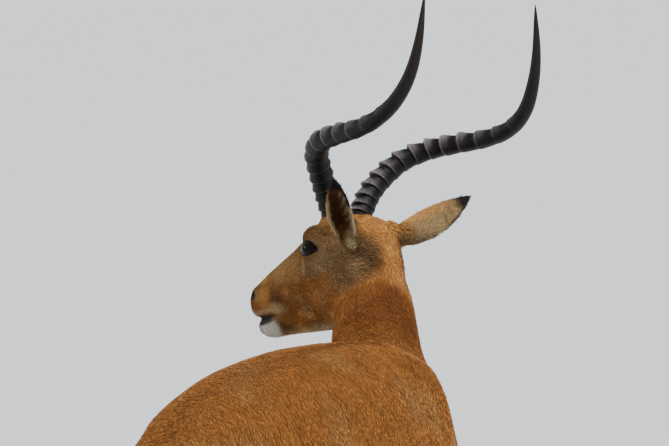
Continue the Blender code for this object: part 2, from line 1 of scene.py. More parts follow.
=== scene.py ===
"""Impala ram at life size: skin, coat, eyes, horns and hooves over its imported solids.

The solids come in as a fixed frame and give every place.  Shapes on the head are worked
out in the head's own frame in centimetres: +X to its left, -Y to the nose, +Z to the
crown.  Shapes on the body use centimetres from the floor under the withers: +X to the
left, +Y to the tail, +Z up.
"""
import math

import bpy
import numpy as np
from bpy.props import FloatProperty, FloatVectorProperty, IntProperty, PointerProperty
from mathutils import Matrix, Vector
from mathutils.bvhtree import BVHTree


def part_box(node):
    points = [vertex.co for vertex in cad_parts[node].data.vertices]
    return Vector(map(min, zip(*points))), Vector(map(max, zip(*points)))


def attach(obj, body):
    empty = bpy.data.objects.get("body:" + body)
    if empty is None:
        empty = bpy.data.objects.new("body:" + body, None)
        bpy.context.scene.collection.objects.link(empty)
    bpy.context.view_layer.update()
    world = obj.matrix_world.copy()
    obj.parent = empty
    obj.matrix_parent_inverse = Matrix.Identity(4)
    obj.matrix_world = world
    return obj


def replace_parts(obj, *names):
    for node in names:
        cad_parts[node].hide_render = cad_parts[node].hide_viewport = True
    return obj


bl_info = {
    "name": "Impala Ram",
    "version": (1, 0, 0),
    "blender": (4, 5, 0),
    "location": "View3D > Sidebar > Impala",
    "description": "Builds the skin, coat, eyes, horns and hooves of a standing impala ram",
    "category": "Add Mesh",
}

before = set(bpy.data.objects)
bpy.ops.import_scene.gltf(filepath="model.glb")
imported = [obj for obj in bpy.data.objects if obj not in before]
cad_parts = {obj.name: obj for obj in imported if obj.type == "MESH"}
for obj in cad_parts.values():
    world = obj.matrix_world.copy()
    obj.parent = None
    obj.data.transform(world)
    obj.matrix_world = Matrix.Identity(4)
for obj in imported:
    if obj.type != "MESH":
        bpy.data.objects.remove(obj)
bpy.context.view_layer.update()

CM = 0.01
MM = 0.001
FLESH = ("head", "neck", "trunk", "tail", "foreleg_left", "foreleg_right",
         "hindleg_left", "hindleg_right", "ear_left", "ear_right")
HOOVES = [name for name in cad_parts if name.startswith("hoof_")]
SIDES = (("left", 1), ("right", -1))

# ---- the head's frame, from its pose and the two eyes ------------------------
HEAD_YAW = 75.0
HEAD_PITCH = 12.0
HEAD_ROLL = -7.0
EYE_PLACE = (4.3, -10.6, 4.3)
EYE_RADIUS = 1.7
HEAD_ABOVE_WITHERS = (11.9, -27.7, 96.9)
EAR_LENGTH = 17.4


def turned(angle, axis):
    return Matrix.Rotation(math.radians(angle), 3, axis)


def centre_of(node):
    low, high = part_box(node)
    return (low + high) / 2


HEAD_TURN = turned(HEAD_YAW, "Z") @ turned(HEAD_PITCH, "X") @ turned(HEAD_ROLL, "Y")
BROW = (centre_of("eye_left") + centre_of("eye_right")) / 2
HEAD_ORIGIN = BROW - HEAD_TURN @ Vector((0, EYE_PLACE[1], EYE_PLACE[2])) * CM
BODY_ORIGIN = HEAD_ORIGIN - Vector(HEAD_ABOVE_WITHERS) * CM
HEAD_AXES = np.array(HEAD_TURN)


def to_head(points):
    """Points of the row frame, as centimetres in the head's frame."""
    return (points - np.array(HEAD_ORIGIN)) @ HEAD_AXES / CM


def from_head(points):
    return np.array(HEAD_ORIGIN) + (np.asarray(points, float) * CM) @ HEAD_AXES.T


def to_body(points):
    """Points of the row frame, as centimetres from the floor under the withers."""
    return (points - np.array(BODY_ORIGIN)) / CM


# ---- colours and settings ----------------------------------------------------
def linear(code):
    """An sRGB colour of six hexadecimal digits as linear red, green and blue."""
    values = [int(code[i:i + 2], 16) / 255 for i in (0, 2, 4)]
    return tuple(v / 12.92 if v <= 0.04045 else ((v + 0.055) / 1.055) ** 2.4 for v in values)


def colour(name, description, code):
    return FloatVectorProperty(name=name, description=description, subtype="COLOR", size=3,
                               min=0.0, max=1.0, default=linear(code))


def number(name, description, value, low=0.0, kind=FloatProperty, **more):
    return kind(name=name, description=description, min=low, default=value, **more)


def whole_number(name, description, value, low=0):
    return number(name, description, value, low, IntProperty)


def length(name, description, metres):
    return number(name, description, metres, unit="LENGTH", subtype="DISTANCE", precision=5)


class ImpalaColours(bpy.types.PropertyGroup):
    saddle: colour("Saddle", "Red-brown of the back and neck", "a2672f")
    # the nape's orange is partly the coat's own colour and partly painted light, raised to the brightness
    # of the lit, wet nape
    nape: colour("Nape", "Orange of the crown and nape", "e09e55")
    flank: colour("Flank", "Fawn of the sides and legs", "a97f4c")
    neck: colour("Neck", "Deep russet of the damp neck", "78451c")
    cheek: colour("Cheek", "Grizzled tan of the face", "84531f")
    grey: colour("Grey", "Grey-brown round the eye and on the temple", "8a7453")
    dusk: colour("Dusk", "Dark brown patch behind the ear", "4c3c2a")
    pale: colour("Pale", "Cream of the brow, lips and ear rims", "c2ad84")
    white: colour("White", "White of the chin, throat and belly", "ccc6b8")
    black: colour("Black", "Black hair of ear tips, stripes and fetlocks", "15110e")
    golden: colour("Golden", "Golden end of the nose bridge", "d09b3c")
    blotch: colour("Blotch", "Dark brown patch beside the mouth", "4c2e12")
    lip: colour("Lip", "Dark grey of the lower lip", "2f2f27")
    ear: colour("Ear", "Pale tan of the backs of the ears", "a88c60")
    nose: colour("Nose", "Bare skin of the nose", "17120f")
    horn: colour("Horn", "Charcoal of the horns", "1c1817")
    # the ridges' grey is rubbed horn that also carries painted light on their faces
    ridge: colour("Ridge", "Rubbed grey of the horn ridges", "a8a19a")
    tip: colour("Horn tip", "Browner horn of the tips", "241e19")
    hoof: colour("Hoof", "Black-brown horn of the hooves", "241e1a")
    iris: colour("Iris", "Dark brown of the eye", "0f0906")
    floor: colour("Floor", "Pale studio floor", "e4e7e8")


class ImpalaSkin(bpy.types.PropertyGroup):
    voxel: length("Voxel", "Fineness of the skin's first mesh", 2.2 * MM)
    body_share: number("Body share", "Faces kept on the body", 0.12, 0.01, max=1.0)
    body_smooth: whole_number("Body smoothing", "Smoothing steps of the body", 260)
    smooth: whole_number("Smoothing", "Smoothing steps of the whole skin", 8)


class ImpalaCoat(bpy.types.PropertyGroup):
    seed: whole_number("Seed", "Start of the coat's random numbers", 7)
    stray: number("Stray", "How far hairs stray from their lie", 0.14, subtype="ANGLE")


class ImpalaHorns(bpy.types.PropertyGroup):
    radius: length("Radius", "Half thickness of the horn at its base", 16.8 * MM)
    ridge: length("Ridge", "Height of the horn's ridges", 4.0 * MM)
    sides: whole_number("Sides", "Faces around each horn", 48, 8)


class ImpalaStage(bpy.types.PropertyGroup):
    focal: number("Focal length", "Lens of the camera", 317.2, 1.0, subtype="DISTANCE_CAMERA")
    distance: length("Distance", "From the camera to the head along the view", 9.0)
    key: number("Key light", "Strength of the soft light from above", 3.9)
    fill: number("Fill light", "Power of the soft box beside the head in watts", 34.0)
    sky: number("Sky", "Strength of the even light all round", 0.62)


# ---- small helpers -----------------------------------------------------------
def smoothstep(low, high, value):
    share = np.clip((value - low) / (high - low), 0.0, 1.0)
    return share * share * (3 - 2 * share)


def unit(vectors):
    return vectors / np.maximum(np.linalg.norm(vectors, axis=-1, keepdims=True), 1e-12)


def wobble(points, pitch):
    """A smooth field from -1 to 1 that varies over about `pitch`, the same at each run."""
    total = np.zeros(len(points))
    for turn, way in enumerate(((1.0, 0.31, -0.52), (-0.43, 1.0, 0.37), (0.29, -0.61, 1.0),
                                (0.83, 0.71, 0.59), (-0.77, 0.47, -0.91))):
        wave = 2 * math.pi / (pitch * (1 + 0.37 * turn))
        total += np.sin(points @ np.array(way) * wave + 1.7 * turn)
    return total / 3.2


def add_object(name, data):
    obj = bpy.data.objects.new(name, data)
    bpy.context.scene.collection.objects.link(obj)
    return obj


def new_mesh(name, vertices, faces):
    """A mesh object from an array of vertices and one or more arrays of equal faces."""
    groups = [np.asarray(group) for group in (faces if isinstance(faces, list) else [faces])]
    mesh = bpy.data.meshes.new(name)
    mesh.vertices.add(len(vertices))
    mesh.vertices.foreach_set("co", np.asarray(vertices, np.float32).ravel())
    corners = np.concatenate([group.ravel() for group in groups]).astype(np.int32)
    sizes = np.concatenate([np.full(len(group), group.shape[1]) for group in groups])
    mesh.loops.add(len(corners))
    mesh.loops.foreach_set("vertex_index", corners)
    mesh.polygons.add(len(sizes))
    starts = np.concatenate(([0], np.cumsum(sizes)[:-1])).astype(np.int32)
    mesh.polygons.foreach_set("loop_start", starts)
    mesh.update(calc_edges=True)
    mesh.validate()
    return add_object(name, mesh)


def evaluate(obj):
    """Apply all of an object's modifiers to its mesh."""
    bpy.context.view_layer.update()
    graph = bpy.context.evaluated_depsgraph_get()
    mesh = bpy.data.meshes.new_from_object(obj.evaluated_get(graph), depsgraph=graph)
    old = obj.data
    obj.modifiers.clear()
    obj.data = mesh
    mesh.name = obj.name
    bpy.data.meshes.remove(old)


def read(elements, name, width, kind):
    """One property of every element of a mesh, as rows of `width` numbers."""
    values = np.empty(len(elements) * width, kind)
    elements.foreach_get(name, values)
    return values.reshape(-1, width)


def points_of(mesh):
    return read(mesh.vertices, "co", 3, np.float32).astype(float)


def normals_of(mesh):
    return read(mesh.vertex_normals, "vector", 3, np.float32).astype(float)


def edges_of(mesh):
    return read(mesh.edges, "vertices", 2, np.int32)


def triangles_of(mesh):
    mesh.calc_loop_triangles()
    return read(mesh.loop_triangles, "vertices", 3, np.int32)


def set_points(mesh, points):
    mesh.vertices.foreach_set("co", np.asarray(points, np.float32).ravel())
    mesh.update()


def store(obj, name, kind, values):
    """Keep a value at each point of an object's mesh, as a named attribute."""
    layer = obj.data.attributes.new(name, kind, "POINT")
    field = {"FLOAT": "value", "FLOAT_VECTOR": "vector", "FLOAT_COLOR": "color"}[kind]
    layer.data.foreach_set(field, np.asarray(values, np.float32).ravel())


def store_colour(obj, rgb):
    store(obj, "coat", "FLOAT_COLOR", np.column_stack([rgb, np.ones(len(rgb))]))


def relax(points, edges, weights, steps, factor=0.5):
    """Draw each point towards the mean of its neighbours, `steps` times."""
    count = len(points)
    first = edges.ravel()
    second = edges[:, ::-1].ravel()
    degree = np.maximum(np.bincount(first, minlength=count), 1)
    pull = (factor * weights)[:, None]
    for _ in range(steps):
        mean = np.stack([np.bincount(first, points[second, axis], count) / degree
                         for axis in range(3)], axis=1)
        points = points + pull * (mean - points)
    return points


def catmull(rows, steps):
    """A smooth run of rows through the given rows, `steps` to each span."""
    rows = np.array(rows, dtype=float)
    ends = np.vstack([2 * rows[0] - rows[1], rows, 2 * rows[-1] - rows[-2]])
    share = np.arange(steps)[:, None] / steps
    spans = []
    for before, start, stop, after in zip(ends, ends[1:], ends[2:], ends[3:]):
        spans.append(0.5 * (2 * start + (stop - before) * share
                            + (2 * before - 5 * start + 4 * stop - after) * share ** 2
                            + (3 * start - before - 3 * stop + after) * share ** 3))
    return np.vstack([*spans, rows[-1]])


def circle(around):
    """Angles of `around` even steps round a circle."""
    return 2 * math.pi * np.arange(around) / around


def ring_faces(rings, around):
    """Quads that join `rings` closed rings of `around` points each."""
    ring, step = np.meshgrid(np.arange(rings - 1), np.arange(around), indexing="ij")
    near = ring * around + step
    next_near = ring * around + (step + 1) % around
    return np.stack([near, next_near, next_near + around, near + around], axis=-1).reshape(-1, 4)


def fan(ring, around, tip):
    """Triangles from one ring of `around` points, given by its number, to the point `tip`."""
    edge = ring * around + np.arange(around)
    return np.column_stack([edge, np.roll(edge, -1), np.full(around, tip)])


def layered(base, table, layers):
    """Blend rows of `table` over the base by (name, weight) layers, in order."""
    for name, weight in layers:
        base = base + weight[:, None] * (np.array(table[name]) - base)
    return base


def shade(obj, mat):
    """Smooth shading and one material, and the piece rides with the whole animal."""
    obj.data.shade_smooth()
    obj.data.materials.append(mat)
    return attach(obj, "root")


# ---- material nodes ----------------------------------------------------------
def new_material(name):
    mat = bpy.data.materials.new(name)
    mat.use_nodes = True
    return mat, mat.node_tree.nodes["Principled BSDF"]


def wire(mat, made, inputs):
    """Link a node's inputs that are given a socket and set those given a constant."""
    for key, value in inputs.items():
        if isinstance(value, bpy.types.NodeSocket):
            mat.node_tree.links.new(value, made.inputs[key])
        else:
            made.inputs[key].default_value = value


def node(mat, kind, inputs=None, stops=(), **values):
    """Add a node with its inputs and properties; a ramp's stops are (place, colour) pairs."""
    made = mat.node_tree.nodes.new("ShaderNode" + kind)
    for key, value in values.items():
        setattr(made, key, value)
    wire(mat, made, inputs or {})
    if stops:
        ramp = made.color_ramp.elements
        while len(ramp) < len(stops):
            ramp.new(0.5)
        for element, (place, shade_of) in zip(ramp, stops):
            element.position = place
            element.color = (*shade_of, 1.0)
    return made


# ---- places on the animal ----------------------------------------------------
# name, foot of the ear, its length's direction, the side its opening faces, cup, bow
EARS = (
    ("ear_left", (4.2, -3.0, 4.4), (11.4, 8.2, 7.6), (0.34, 0.41, -0.85), 1.0, 0.5),
    ("ear_right", (-4.8, -2.2, 5.0), (-15.9, 3.8, 7.5), (-0.25, -0.85, -0.25), 0.80, 0.6),
)
# share of the ear's length, half width along its skin in cm, half angle of its cup
EAR_STATIONS = np.array((
    (0.0, 3.3, 152), (0.12, 3.6, 138), (0.25, 3.8, 124), (0.4, 3.7, 110), (0.55, 3.2, 100),
    (0.7, 2.4, 90), (0.84, 1.4, 78), (0.94, 0.7, 66), (1.0, 0.25, 55),
))
# how far the ear's tip bends towards its opening, in cm
EAR_HOOK = 0.8
# where the forelegs' half of the body ends, in cm behind the withers
FORE_HALF = 25
# the dark tufts behind the hind fetlocks in cm: half the gap between them, how far behind
# the withers, and how far the left one stands behind that and the right one ahead
FETLOCK_SIDE = 9.2
FETLOCK_BACK = 75
FETLOCK_STRIDE = 1.8


def ear_frame(axis, opening):
    """Rows of an ear's side, opening and length, in the head's frame."""
    up = Vector(axis).normalized()
    face = Vector(opening)
    face = (face - up * face.dot(up)).normalized()
    return np.array((face.cross(up), face, up))


def ear_coordinates(points, normals, ear):
    """Share of the ear's length, place across its cup from -1 to 1, whether inside, and nearness."""
    _name, foot, axis, opening, cup, bow = ear
    rows = ear_frame(axis, opening)
    local = (to_head(points) - np.array(foot)) @ rows.T
    facing = (normals @ HEAD_AXES) @ rows.T
    share = local[:, 2] / EAR_LENGTH
    inside = np.clip(share, 0, 1)
    half = np.interp(inside, EAR_STATIONS[:, 0], EAR_STATIONS[:, 1])
    bend = np.radians(np.interp(inside, EAR_STATIONS[:, 0], EAR_STATIONS[:, 2])) * cup
    across = local[:, 0] - bow * np.sin(math.pi * inside)
    deep = local[:, 1] - EAR_HOOK * inside ** 3
    radius = half / bend
    place = np.arctan2(across, -deep) / bend
    reach = np.hypot(across, deep)
    hollow = (across * facing[:, 0] + deep * facing[:, 1]) < 0
    nearness = smoothstep(0.10, 0.2, share) * (1 - smoothstep(0.8, 1.6, reach - radius))
    return share, place, hollow, nearness * (share < 1.1)


def on_head(points, drift=0.0):
    """1 on the head and nought past the throat and nape; `drift` in cm shifts the border."""
    local = to_head(points)
    behind = local[:, 1] - 1.0 + 6.0 * smoothstep(1.0, -5.0, local[:, 2])
    off = np.maximum(behind, -10.0 - local[:, 2]) + drift
    return 1 - smoothstep(-1.5, 3.5, off)


def on_leg(points):
    """1 below the elbow and stifle and nought on the trunk."""
    _side, behind, rise = to_body(points).T
    leg = np.where(behind < FORE_HALF, smoothstep(52, 44, rise), smoothstep(58, 48, rise))
    return leg * (1 - on_tail(points))


def on_tail(points):
    side, behind, rise = to_body(points).T
    return (smoothstep(75.8, 77.2, behind) * (np.abs(side) < 4.0)
            * smoothstep(38, 41, rise) * smoothstep(84, 80, rise))


def from_fetlock(body, height, radii):
    """Distance from the dark tuft behind each hind fetlock, in its own radii."""
    off = np.column_stack([np.abs(body[:, 0]) - FETLOCK_SIDE,
                           body[:, 1] - FETLOCK_BACK - FETLOCK_STRIDE * np.sign(body[:, 0]),
                           body[:, 2] - height])
    return np.linalg.norm(off / np.array(radii), axis=1)


def coat_depth(points, normals):
    """How far the skin lies below the tips of the coat, in metres."""
    depth = np.full(len(points), 3.2)
    face = smoothstep(-9, -16, to_head(points)[:, 1])
    depth += on_head(points) * (2.2 - 1.0 * face - depth)
    depth += on_leg(points) * (1.6 - depth)
    depth += on_tail(points) * (7.0 - depth)
    depth += 3.0 * smoothstep(1, 0.4, from_fetlock(to_body(points), 15.0, (3, 3, 4)))
    for ear in EARS:
        depth += ear_coordinates(points, normals, ear)[3] * (0.7 - depth)
    return depth * MM


# ---- skin --------------------------------------------------------------------
EAR_SWELL = 0.5 * MM


def joined_flesh():
    """All the flesh solids as one set of points and triangles, the thin ears swollen a little."""
    points, faces, count = [], [], 0
    for name in FLESH:
        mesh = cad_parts[name].data
        co = points_of(mesh)
        if name.startswith("ear_"):
            co = co + normals_of(mesh) * EAR_SWELL
        points.append(co)
        faces.append(triangles_of(mesh) + count)
        count += len(co)
    return np.vstack(points), np.vstack(faces)


# swells and hollows of the face: centre and radii in cm in the head's frame, on both
# sides, and how far they push the skin out
FACE_FORMS = (
    ((4.6, -9.0, 7.0), (2.2, 3.2, 1.1), 0.22),      # brow over the eye
    ((4.9, -8.0, 2.0), (1.4, 3.5, 1.0), 0.16),      # cheekbone under the eye
    ((4.4, -6.0, 5.6), (1.4, 2.0, 1.3), -0.22),     # hollow of the temple
    ((3.6, -15.0, 2.4), (1.3, 2.6, 1.6), -0.20),    # hollow before the eye
    ((3.4, -16.5, -1.5), (1.2, 4.0, 0.8), 0.10),    # ridge along the cheek teeth
    ((3.2, -17.0, -4.0), (1.2, 4.5, 1.2), -0.18),   # hollow of the cheek behind the mouth
    ((3.8, -7.0, -3.5), (1.6, 3.8, 3.0), 0.18),     # chewing muscle
    ((1.6, -26.2, -1.3), (0.6, 0.8, 0.9), 0.14),    # wing of the nostril
    ((0.0, -27.2, -2.3), (0.25, 0.9, 1.2), -0.10),  # groove of the upper lip
    ((0.0, -12.0, 9.2), (1.0, 4.0, 1.0), 0.10),     # midline of the forehead
)
# the same for the body, in its own frame
BODY_FORMS = (
    ((8.0, -1.0, 79.0), (3.5, 4.0, 10.0), 0.45),    # shoulder blade
    ((11.0, 9.0, 70.0), (5.0, 3.0, 12.0), -0.55),   # hollow behind the shoulder
    ((10.0, 1.0, 60.0), (4.0, 4.5, 6.0), 0.45),     # upper arm
    ((8.5, 6.5, 54.0), (4.0, 2.0, 4.0), -0.45),     # crease at the elbow
    ((9.0, 52.0, 82.0), (3.5, 4.0, 3.5), 0.50),     # point of the hip
    ((12.0, 46.0, 72.0), (5.0, 5.0, 7.0), -0.75),   # hollow of the flank
    ((11.0, 55.0, 62.0), (4.0, 4.0, 9.0), 0.45),    # front of the thigh
    ((10.0, 64.0, 74.0), (4.0, 5.0, 7.0), 0.35),    # haunch
    ((10.0, 69.0, 62.0), (4.0, 1.8, 9.0), -0.35),   # groove behind the thigh
)
# the nostril and the slit of the mouth, with steeper sides
FACE_HOLLOWS = (
    ((1.25, -26.9, -0.75), (0.42, 0.75, 0.28), -0.55),
    ((0, -26.0, -4.3), (3.0, 4.2, 0.4), -0.25),
)
RIB_PITCH = 3.4
EYE_LOOK = Vector((0.985, -0.12, 0.12)).normalized()
# how far the lids open from the eye's pole, in radians, and the power of the almond's curve
OPEN_INNER, OPEN_OUTER, OPEN_UP, OPEN_DOWN = 1.02, 1.26, 0.72, 0.66
ALMOND = 1.8


def mirrored(local):
    """Places on either side, brought over to the left."""
    return np.column_stack([np.abs(local[:, 0]), local[:, 1], local[:, 2]])


def eye_centre(side):
    return np.array((side * EYE_PLACE[0], EYE_PLACE[1], EYE_PLACE[2]))


def eye_axes(side):
    """Rows: towards the inner corner, up, and the way the eye looks, in the head's frame."""
    look = np.array((side * EYE_LOOK.x, EYE_LOOK.y, EYE_LOOK.z))
    inner = np.array((0.0, -1.0, 0.16))
    inner = unit(inner - look * (inner @ look))
    up = np.cross(look, inner) * side
    return np.array((inner, up * np.sign(up[2]), look))


def lid_opening(cos, sin):
    """Angle from the eye's pole to the edge of its almond opening, each way round it."""
    long = np.where(cos > 0, OPEN_INNER, OPEN_OUTER)
    high = np.where(sin > 0, OPEN_UP, OPEN_DOWN)
    return ((np.abs(cos) / long) ** ALMOND + (np.abs(sin) / high) ** ALMOND) ** (-1 / ALMOND)


def rim_distance(points):
    """Distance in cm out from the nearer eye's opening, and that from the eye's centre."""
    off = mirrored(to_head(points)) - eye_centre(1)
    inward, up, out = (off @ eye_axes(1).T).T
    flat = np.maximum(np.hypot(inward, up), 1e-9)
    polar = np.arctan2(flat, out)
    return (polar - lid_opening(inward / flat, up / flat)) * EYE_RADIUS, np.linalg.norm(off, axis=1)


def blob(local, centre, radii):
    """Distance from a place on either side of the head or body, in its own radii."""
    return np.linalg.norm((mirrored(local) - np.array(centre)) / np.array(radii), axis=1)


def swell(local, forms, fall=1.2):
    """How far the (centre, radii, height) forms push each place out, in cm."""
    return sum(height * np.exp(-fall * blob(local, centre, radii) ** 2)
               for centre, radii, height in forms)


def sculpt_face(points, normals):
    """Push the face's swells and hollows out and in, and sink the nostrils and mouth."""
    local = to_head(points)
    push = swell(local, FACE_FORMS) + swell(local, FACE_HOLLOWS, fall=1.5)
    return points + normals * (push * CM)[:, None]


def sculpt_body(points, normals):
    """Push the body's muscles out and its hollows in, with a hint of the ribs."""
    local = to_body(points)
    chest = np.exp(-1.5 * blob(local, (13.0, 26.0, 66.0), (6.0, 16.0, 11.0)) ** 4)
    ribs = 0.09 * chest * np.sin(2 * math.pi * (local[:, 1] + 0.35 * local[:, 2]) / RIB_PITCH)
    push = (swell(local, BODY_FORMS) + ribs) * (1 - on_head(points))
    return points + normals * (push * CM)[:, None]


EAR_HOLD = 0.75


def make_skin(values):
    """One skin over all the flesh: smoothed, modelled and sunk below the tips of the coat."""
    vertices, faces = joined_flesh()
    skin = new_mesh("skin", vertices, faces)
    remesh = skin.modifiers.new("Remesh", "REMESH")
    remesh.mode = "VOXEL"
    remesh.voxel_size = values.voxel * 1.0
    evaluate(skin)
    points = points_of(skin.data)
    edges = edges_of(skin.data)
    ears = np.zeros(len(points))
    for ear in EARS:
        ears = np.maximum(ears, ear_coordinates(points, normals_of(skin.data), ear)[3])
    everywhere = 1 - EAR_HOLD * ears
    body = (1 - on_head(points)) * (1 - ears) * (1 - on_leg(points)) * (1 - on_tail(points))
    points = relax(points, edges, everywhere, values.smooth)
    points = relax(points, edges, body, values.body_smooth // (1))
    set_points(skin.data, points)
    normals = normals_of(skin.data)
    points = sculpt_body(sculpt_face(points, normals), normals)
    points = points - normals * coat_depth(points, normals)[:, None]
    set_points(skin.data, points)
    thin_body(skin, values.body_share)
    return skin


def thin_body(skin, share):
    """Keep the head's faces fine and thin the body's."""
    points = points_of(skin.data)
    weights = 1 - on_head(points)
    group = skin.vertex_groups.new(name="body")
    for index in np.nonzero(weights > 0.05)[0]:
        group.add([int(index)], float(weights[index]), "REPLACE")
    thin = skin.modifiers.new("Thin", "DECIMATE")
    head = float(np.mean(weights < 0.5))
    thin.ratio = min(1.0, head + (1 - head) * share)
    thin.vertex_group = "body"
    evaluate(skin)
    skin.vertex_groups.clear()


# ---- markings ----------------------------------------------------------------
# on both sides of the head: colour, centre, radii in cm, softness of the edge, strength
MARKINGS = (
    ("nape", (1.5, 1.5, 7.0), (4.0, 5.0, 4.5), 0.45, 0.9),
    ("nape", (0.0, 4.5, 3.0), (3.4, 3.5, 7.0), 0.5, 0.8),
    # painted light: the top of the nose bridge made paler, as lit from above
    ("flank", (0.0, -15.0, 7.2), (2.3, 9.5, 3.0), 0.5, 0.8),
    ("flank", (2.6, -17.2, 2.4), (2.4, 5.6, 2.3), 0.6, 0.85),
    # painted light: the forehead made paler, as lit from above
    ("nape", (2.0, -10.0, 9.0), (2.6, 4.0, 2.2), 0.5, 0.7),
    ("saddle", (4.6, -9.0, -2.6), (2.2, 5.0, 2.4), 0.7, 0.55),
    ("golden", (0.0, -23.4, 1.3), (1.9, 1.7, 1.0), 0.5, 0.9),
    ("grey", (5.0, -7.0, 4.4), (2.4, 4.0, 3.0), 0.5, 0.7),
    ("grey", (4.4, -3.5, 0.0), (2.6, 4.4, 3.0), 0.6, 0.45),
    ("flank", (5.0, -5.4, 7.0), (2.0, 2.6, 2.2), 0.6, 0.55),
    ("dusk", (4.4, -10.2, 6.8), (1.2, 1.4, 0.7), 0.6, 0.3),
    ("dusk", (4.4, -3.6, -0.8), (2.0, 2.6, 2.6), 0.7, 0.45),
    ("grey", (5.2, -9.6, 1.5), (1.6, 2.4, 1.3), 0.6, 0.7),
    ("dusk", (5.0, 0.2, 3.0), (2.8, 2.6, 3.2), 0.45, 0.8),
    ("ear", (5.3, -1.9, 0.6), (1.2, 1.5, 1.3), 0.7, 0.45),
    ("pale", (5.6, -2.0, 4.6), (1.0, 0.6, 1.7), 0.4, 0.85),
    ("nape", (2.4, -6.6, 8.2), (2.6, 3.2, 1.8), 0.6, 0.7),
    ("pale", (4.4, -12.8, 2.2), (1.3, 0.5, 2.0), 0.7, 0.4),
    ("pale", (4.4, -12.9, 4.6), (1.0, 0.6, 1.2), 0.5, 0.6),
    ("blotch", (2.8, -20.2, -1.5), (1.8, 1.9, 1.4), 0.6, 0.72),
    ("nape", (2.4, -23.4, -0.9), (1.5, 1.7, 1.4), 0.6, 0.4),
    ("saddle", (1.4, -24.2, -2.5), (1.8, 1.8, 0.9), 0.6, 0.5),
    ("pale", (1.4, -24.6, -3.4), (1.9, 2.6, 0.35), 0.6, 0.5),
    ("pale", (2.6, -21.0, -3.4), (1.2, 1.6, 0.8), 0.7, 0.45),
    ("blotch", (2.0, -19.9, -6.6), (1.4, 2.2, 1.0), 0.5, 0.8),
    ("white", (0.0, -26.4, -2.9), (1.3, 0.7, 1.3), 0.4, 0.8),
    ("white", (0.8, -23.0, -6.3), (2.6, 2.2, 1.5), 0.25, 1.0),
    ("white", (0.0, -25.4, -6.0), (1.6, 1.2, 1.2), 0.3, 0.9),
    ("lip", (0.8, -24.4, -4.9), (2.0, 2.4, 0.6), 0.35, 0.9),
    ("pale", (0.0, -12.0, -8.0), (2.4, 8.0, 1.6), 0.5, 0.6),
    ("nose", (0.0, -25.2, -4.25), (3.2, 3.8, 0.36), 0.3, 0.95),
    ("nose", (0.9, -26.4, -0.7), (1.45, 1.5, 1.0), 0.15, 1.0),
    ("nose", (0.0, -27.0, -1.1), (1.0, 1.3, 1.3), 0.15, 1.0),
)


def marked(points, normals, colours):
    """The coat's colour at each point, from broad fields to small markings."""
    body = to_body(points)
    local = to_head(points)
    head = on_head(points)
    leg = on_leg(points)
    tail = on_tail(points)
    drift = 3.0 * wobble(body, 14.0)
    ragged = 0.10 * wobble(local, 2.6)
    side = np.abs(body[:, 0])
    rise = body[:, 2]
    down = smoothstep(-0.1, 0.5, -normals[:, 2])
    inner = smoothstep(0.1, 0.6, -normals[:, 0] * np.sign(body[:, 0])) * smoothstep(30, 42, rise)
    trunk = (1 - head) * smoothstep(-28, -16, body[:, 1])
    rump = smoothstep(66, 71, body[:, 1]) * smoothstep(52, 58, rise) * smoothstep(82, 78, rise)
    neck = smoothstep(-6, -14, body[:, 1] + drift) * smoothstep(62, 72, rise)
    far = 1 - 0.5 * (on_head(points, drift - 2.5) + on_head(points, drift - 6.5))
    rim, reach = rim_distance(points)
    layers = [
        ("flank", trunk * smoothstep(74, 66, rise + drift) * 0.85),
        ("flank", trunk * smoothstep(0.1, 1.0, wobble(body, 9.0)) * 0.35),
        ("blotch", trunk * smoothstep(4.0, 1.0, side) * smoothstep(70, 80, rise) * 0.22),
        ("white", trunk * smoothstep(58, 54, rise + 0.4 * drift) * down),
        ("flank", leg * 0.9),
        ("white", leg * inner * 0.9),
        ("white", rump * smoothstep(5.2, 4.4, side)),
        ("black", rump * smoothstep(1.1, 0.7, np.abs(side - 5.6))),
        ("white", tail * smoothstep(0.8, 1.3, side + 2.0 * (normals[:, 1] < 0))),
        ("black", tail * smoothstep(1.3, 0.8, side) * (normals[:, 1] > 0)),
        ("black", smoothstep(1.1, 0.8, from_fetlock(body, 14.5, (2.6, 2.6, 4.2)))),
        ("neck", neck * far * 0.9),
        ("cheek", 0.5 * (on_head(points, 2.2 + drift) + on_head(points, -1.8 + drift))),
        ("grey", head * smoothstep(0.1, 0.9, wobble(local, 3.1)) * 0.40),
        ("nape", head * smoothstep(0.1, 0.9, wobble(local[:, ::-1], 2.3)) * 0.28),
    ]
    for name, centre, radii, soft, strength in MARKINGS:
        distance = blob(local, centre, radii) + ragged
        layers.append((name, strength * (1 - smoothstep(1 - soft, 1 + soft, distance))))
    layers.append(("nose", (1 - smoothstep(0.04, 0.20, rim)) * smoothstep(2.6, 2.2, reach)))
    for ear in EARS:
        layers += ear_layers(points, normals, ear)
    table = {name: getattr(colours, name) for name in ImpalaColours.__annotations__}
    return np.clip(layered(np.tile(table["saddle"], (len(points), 1)), table, layers), 0, 1)


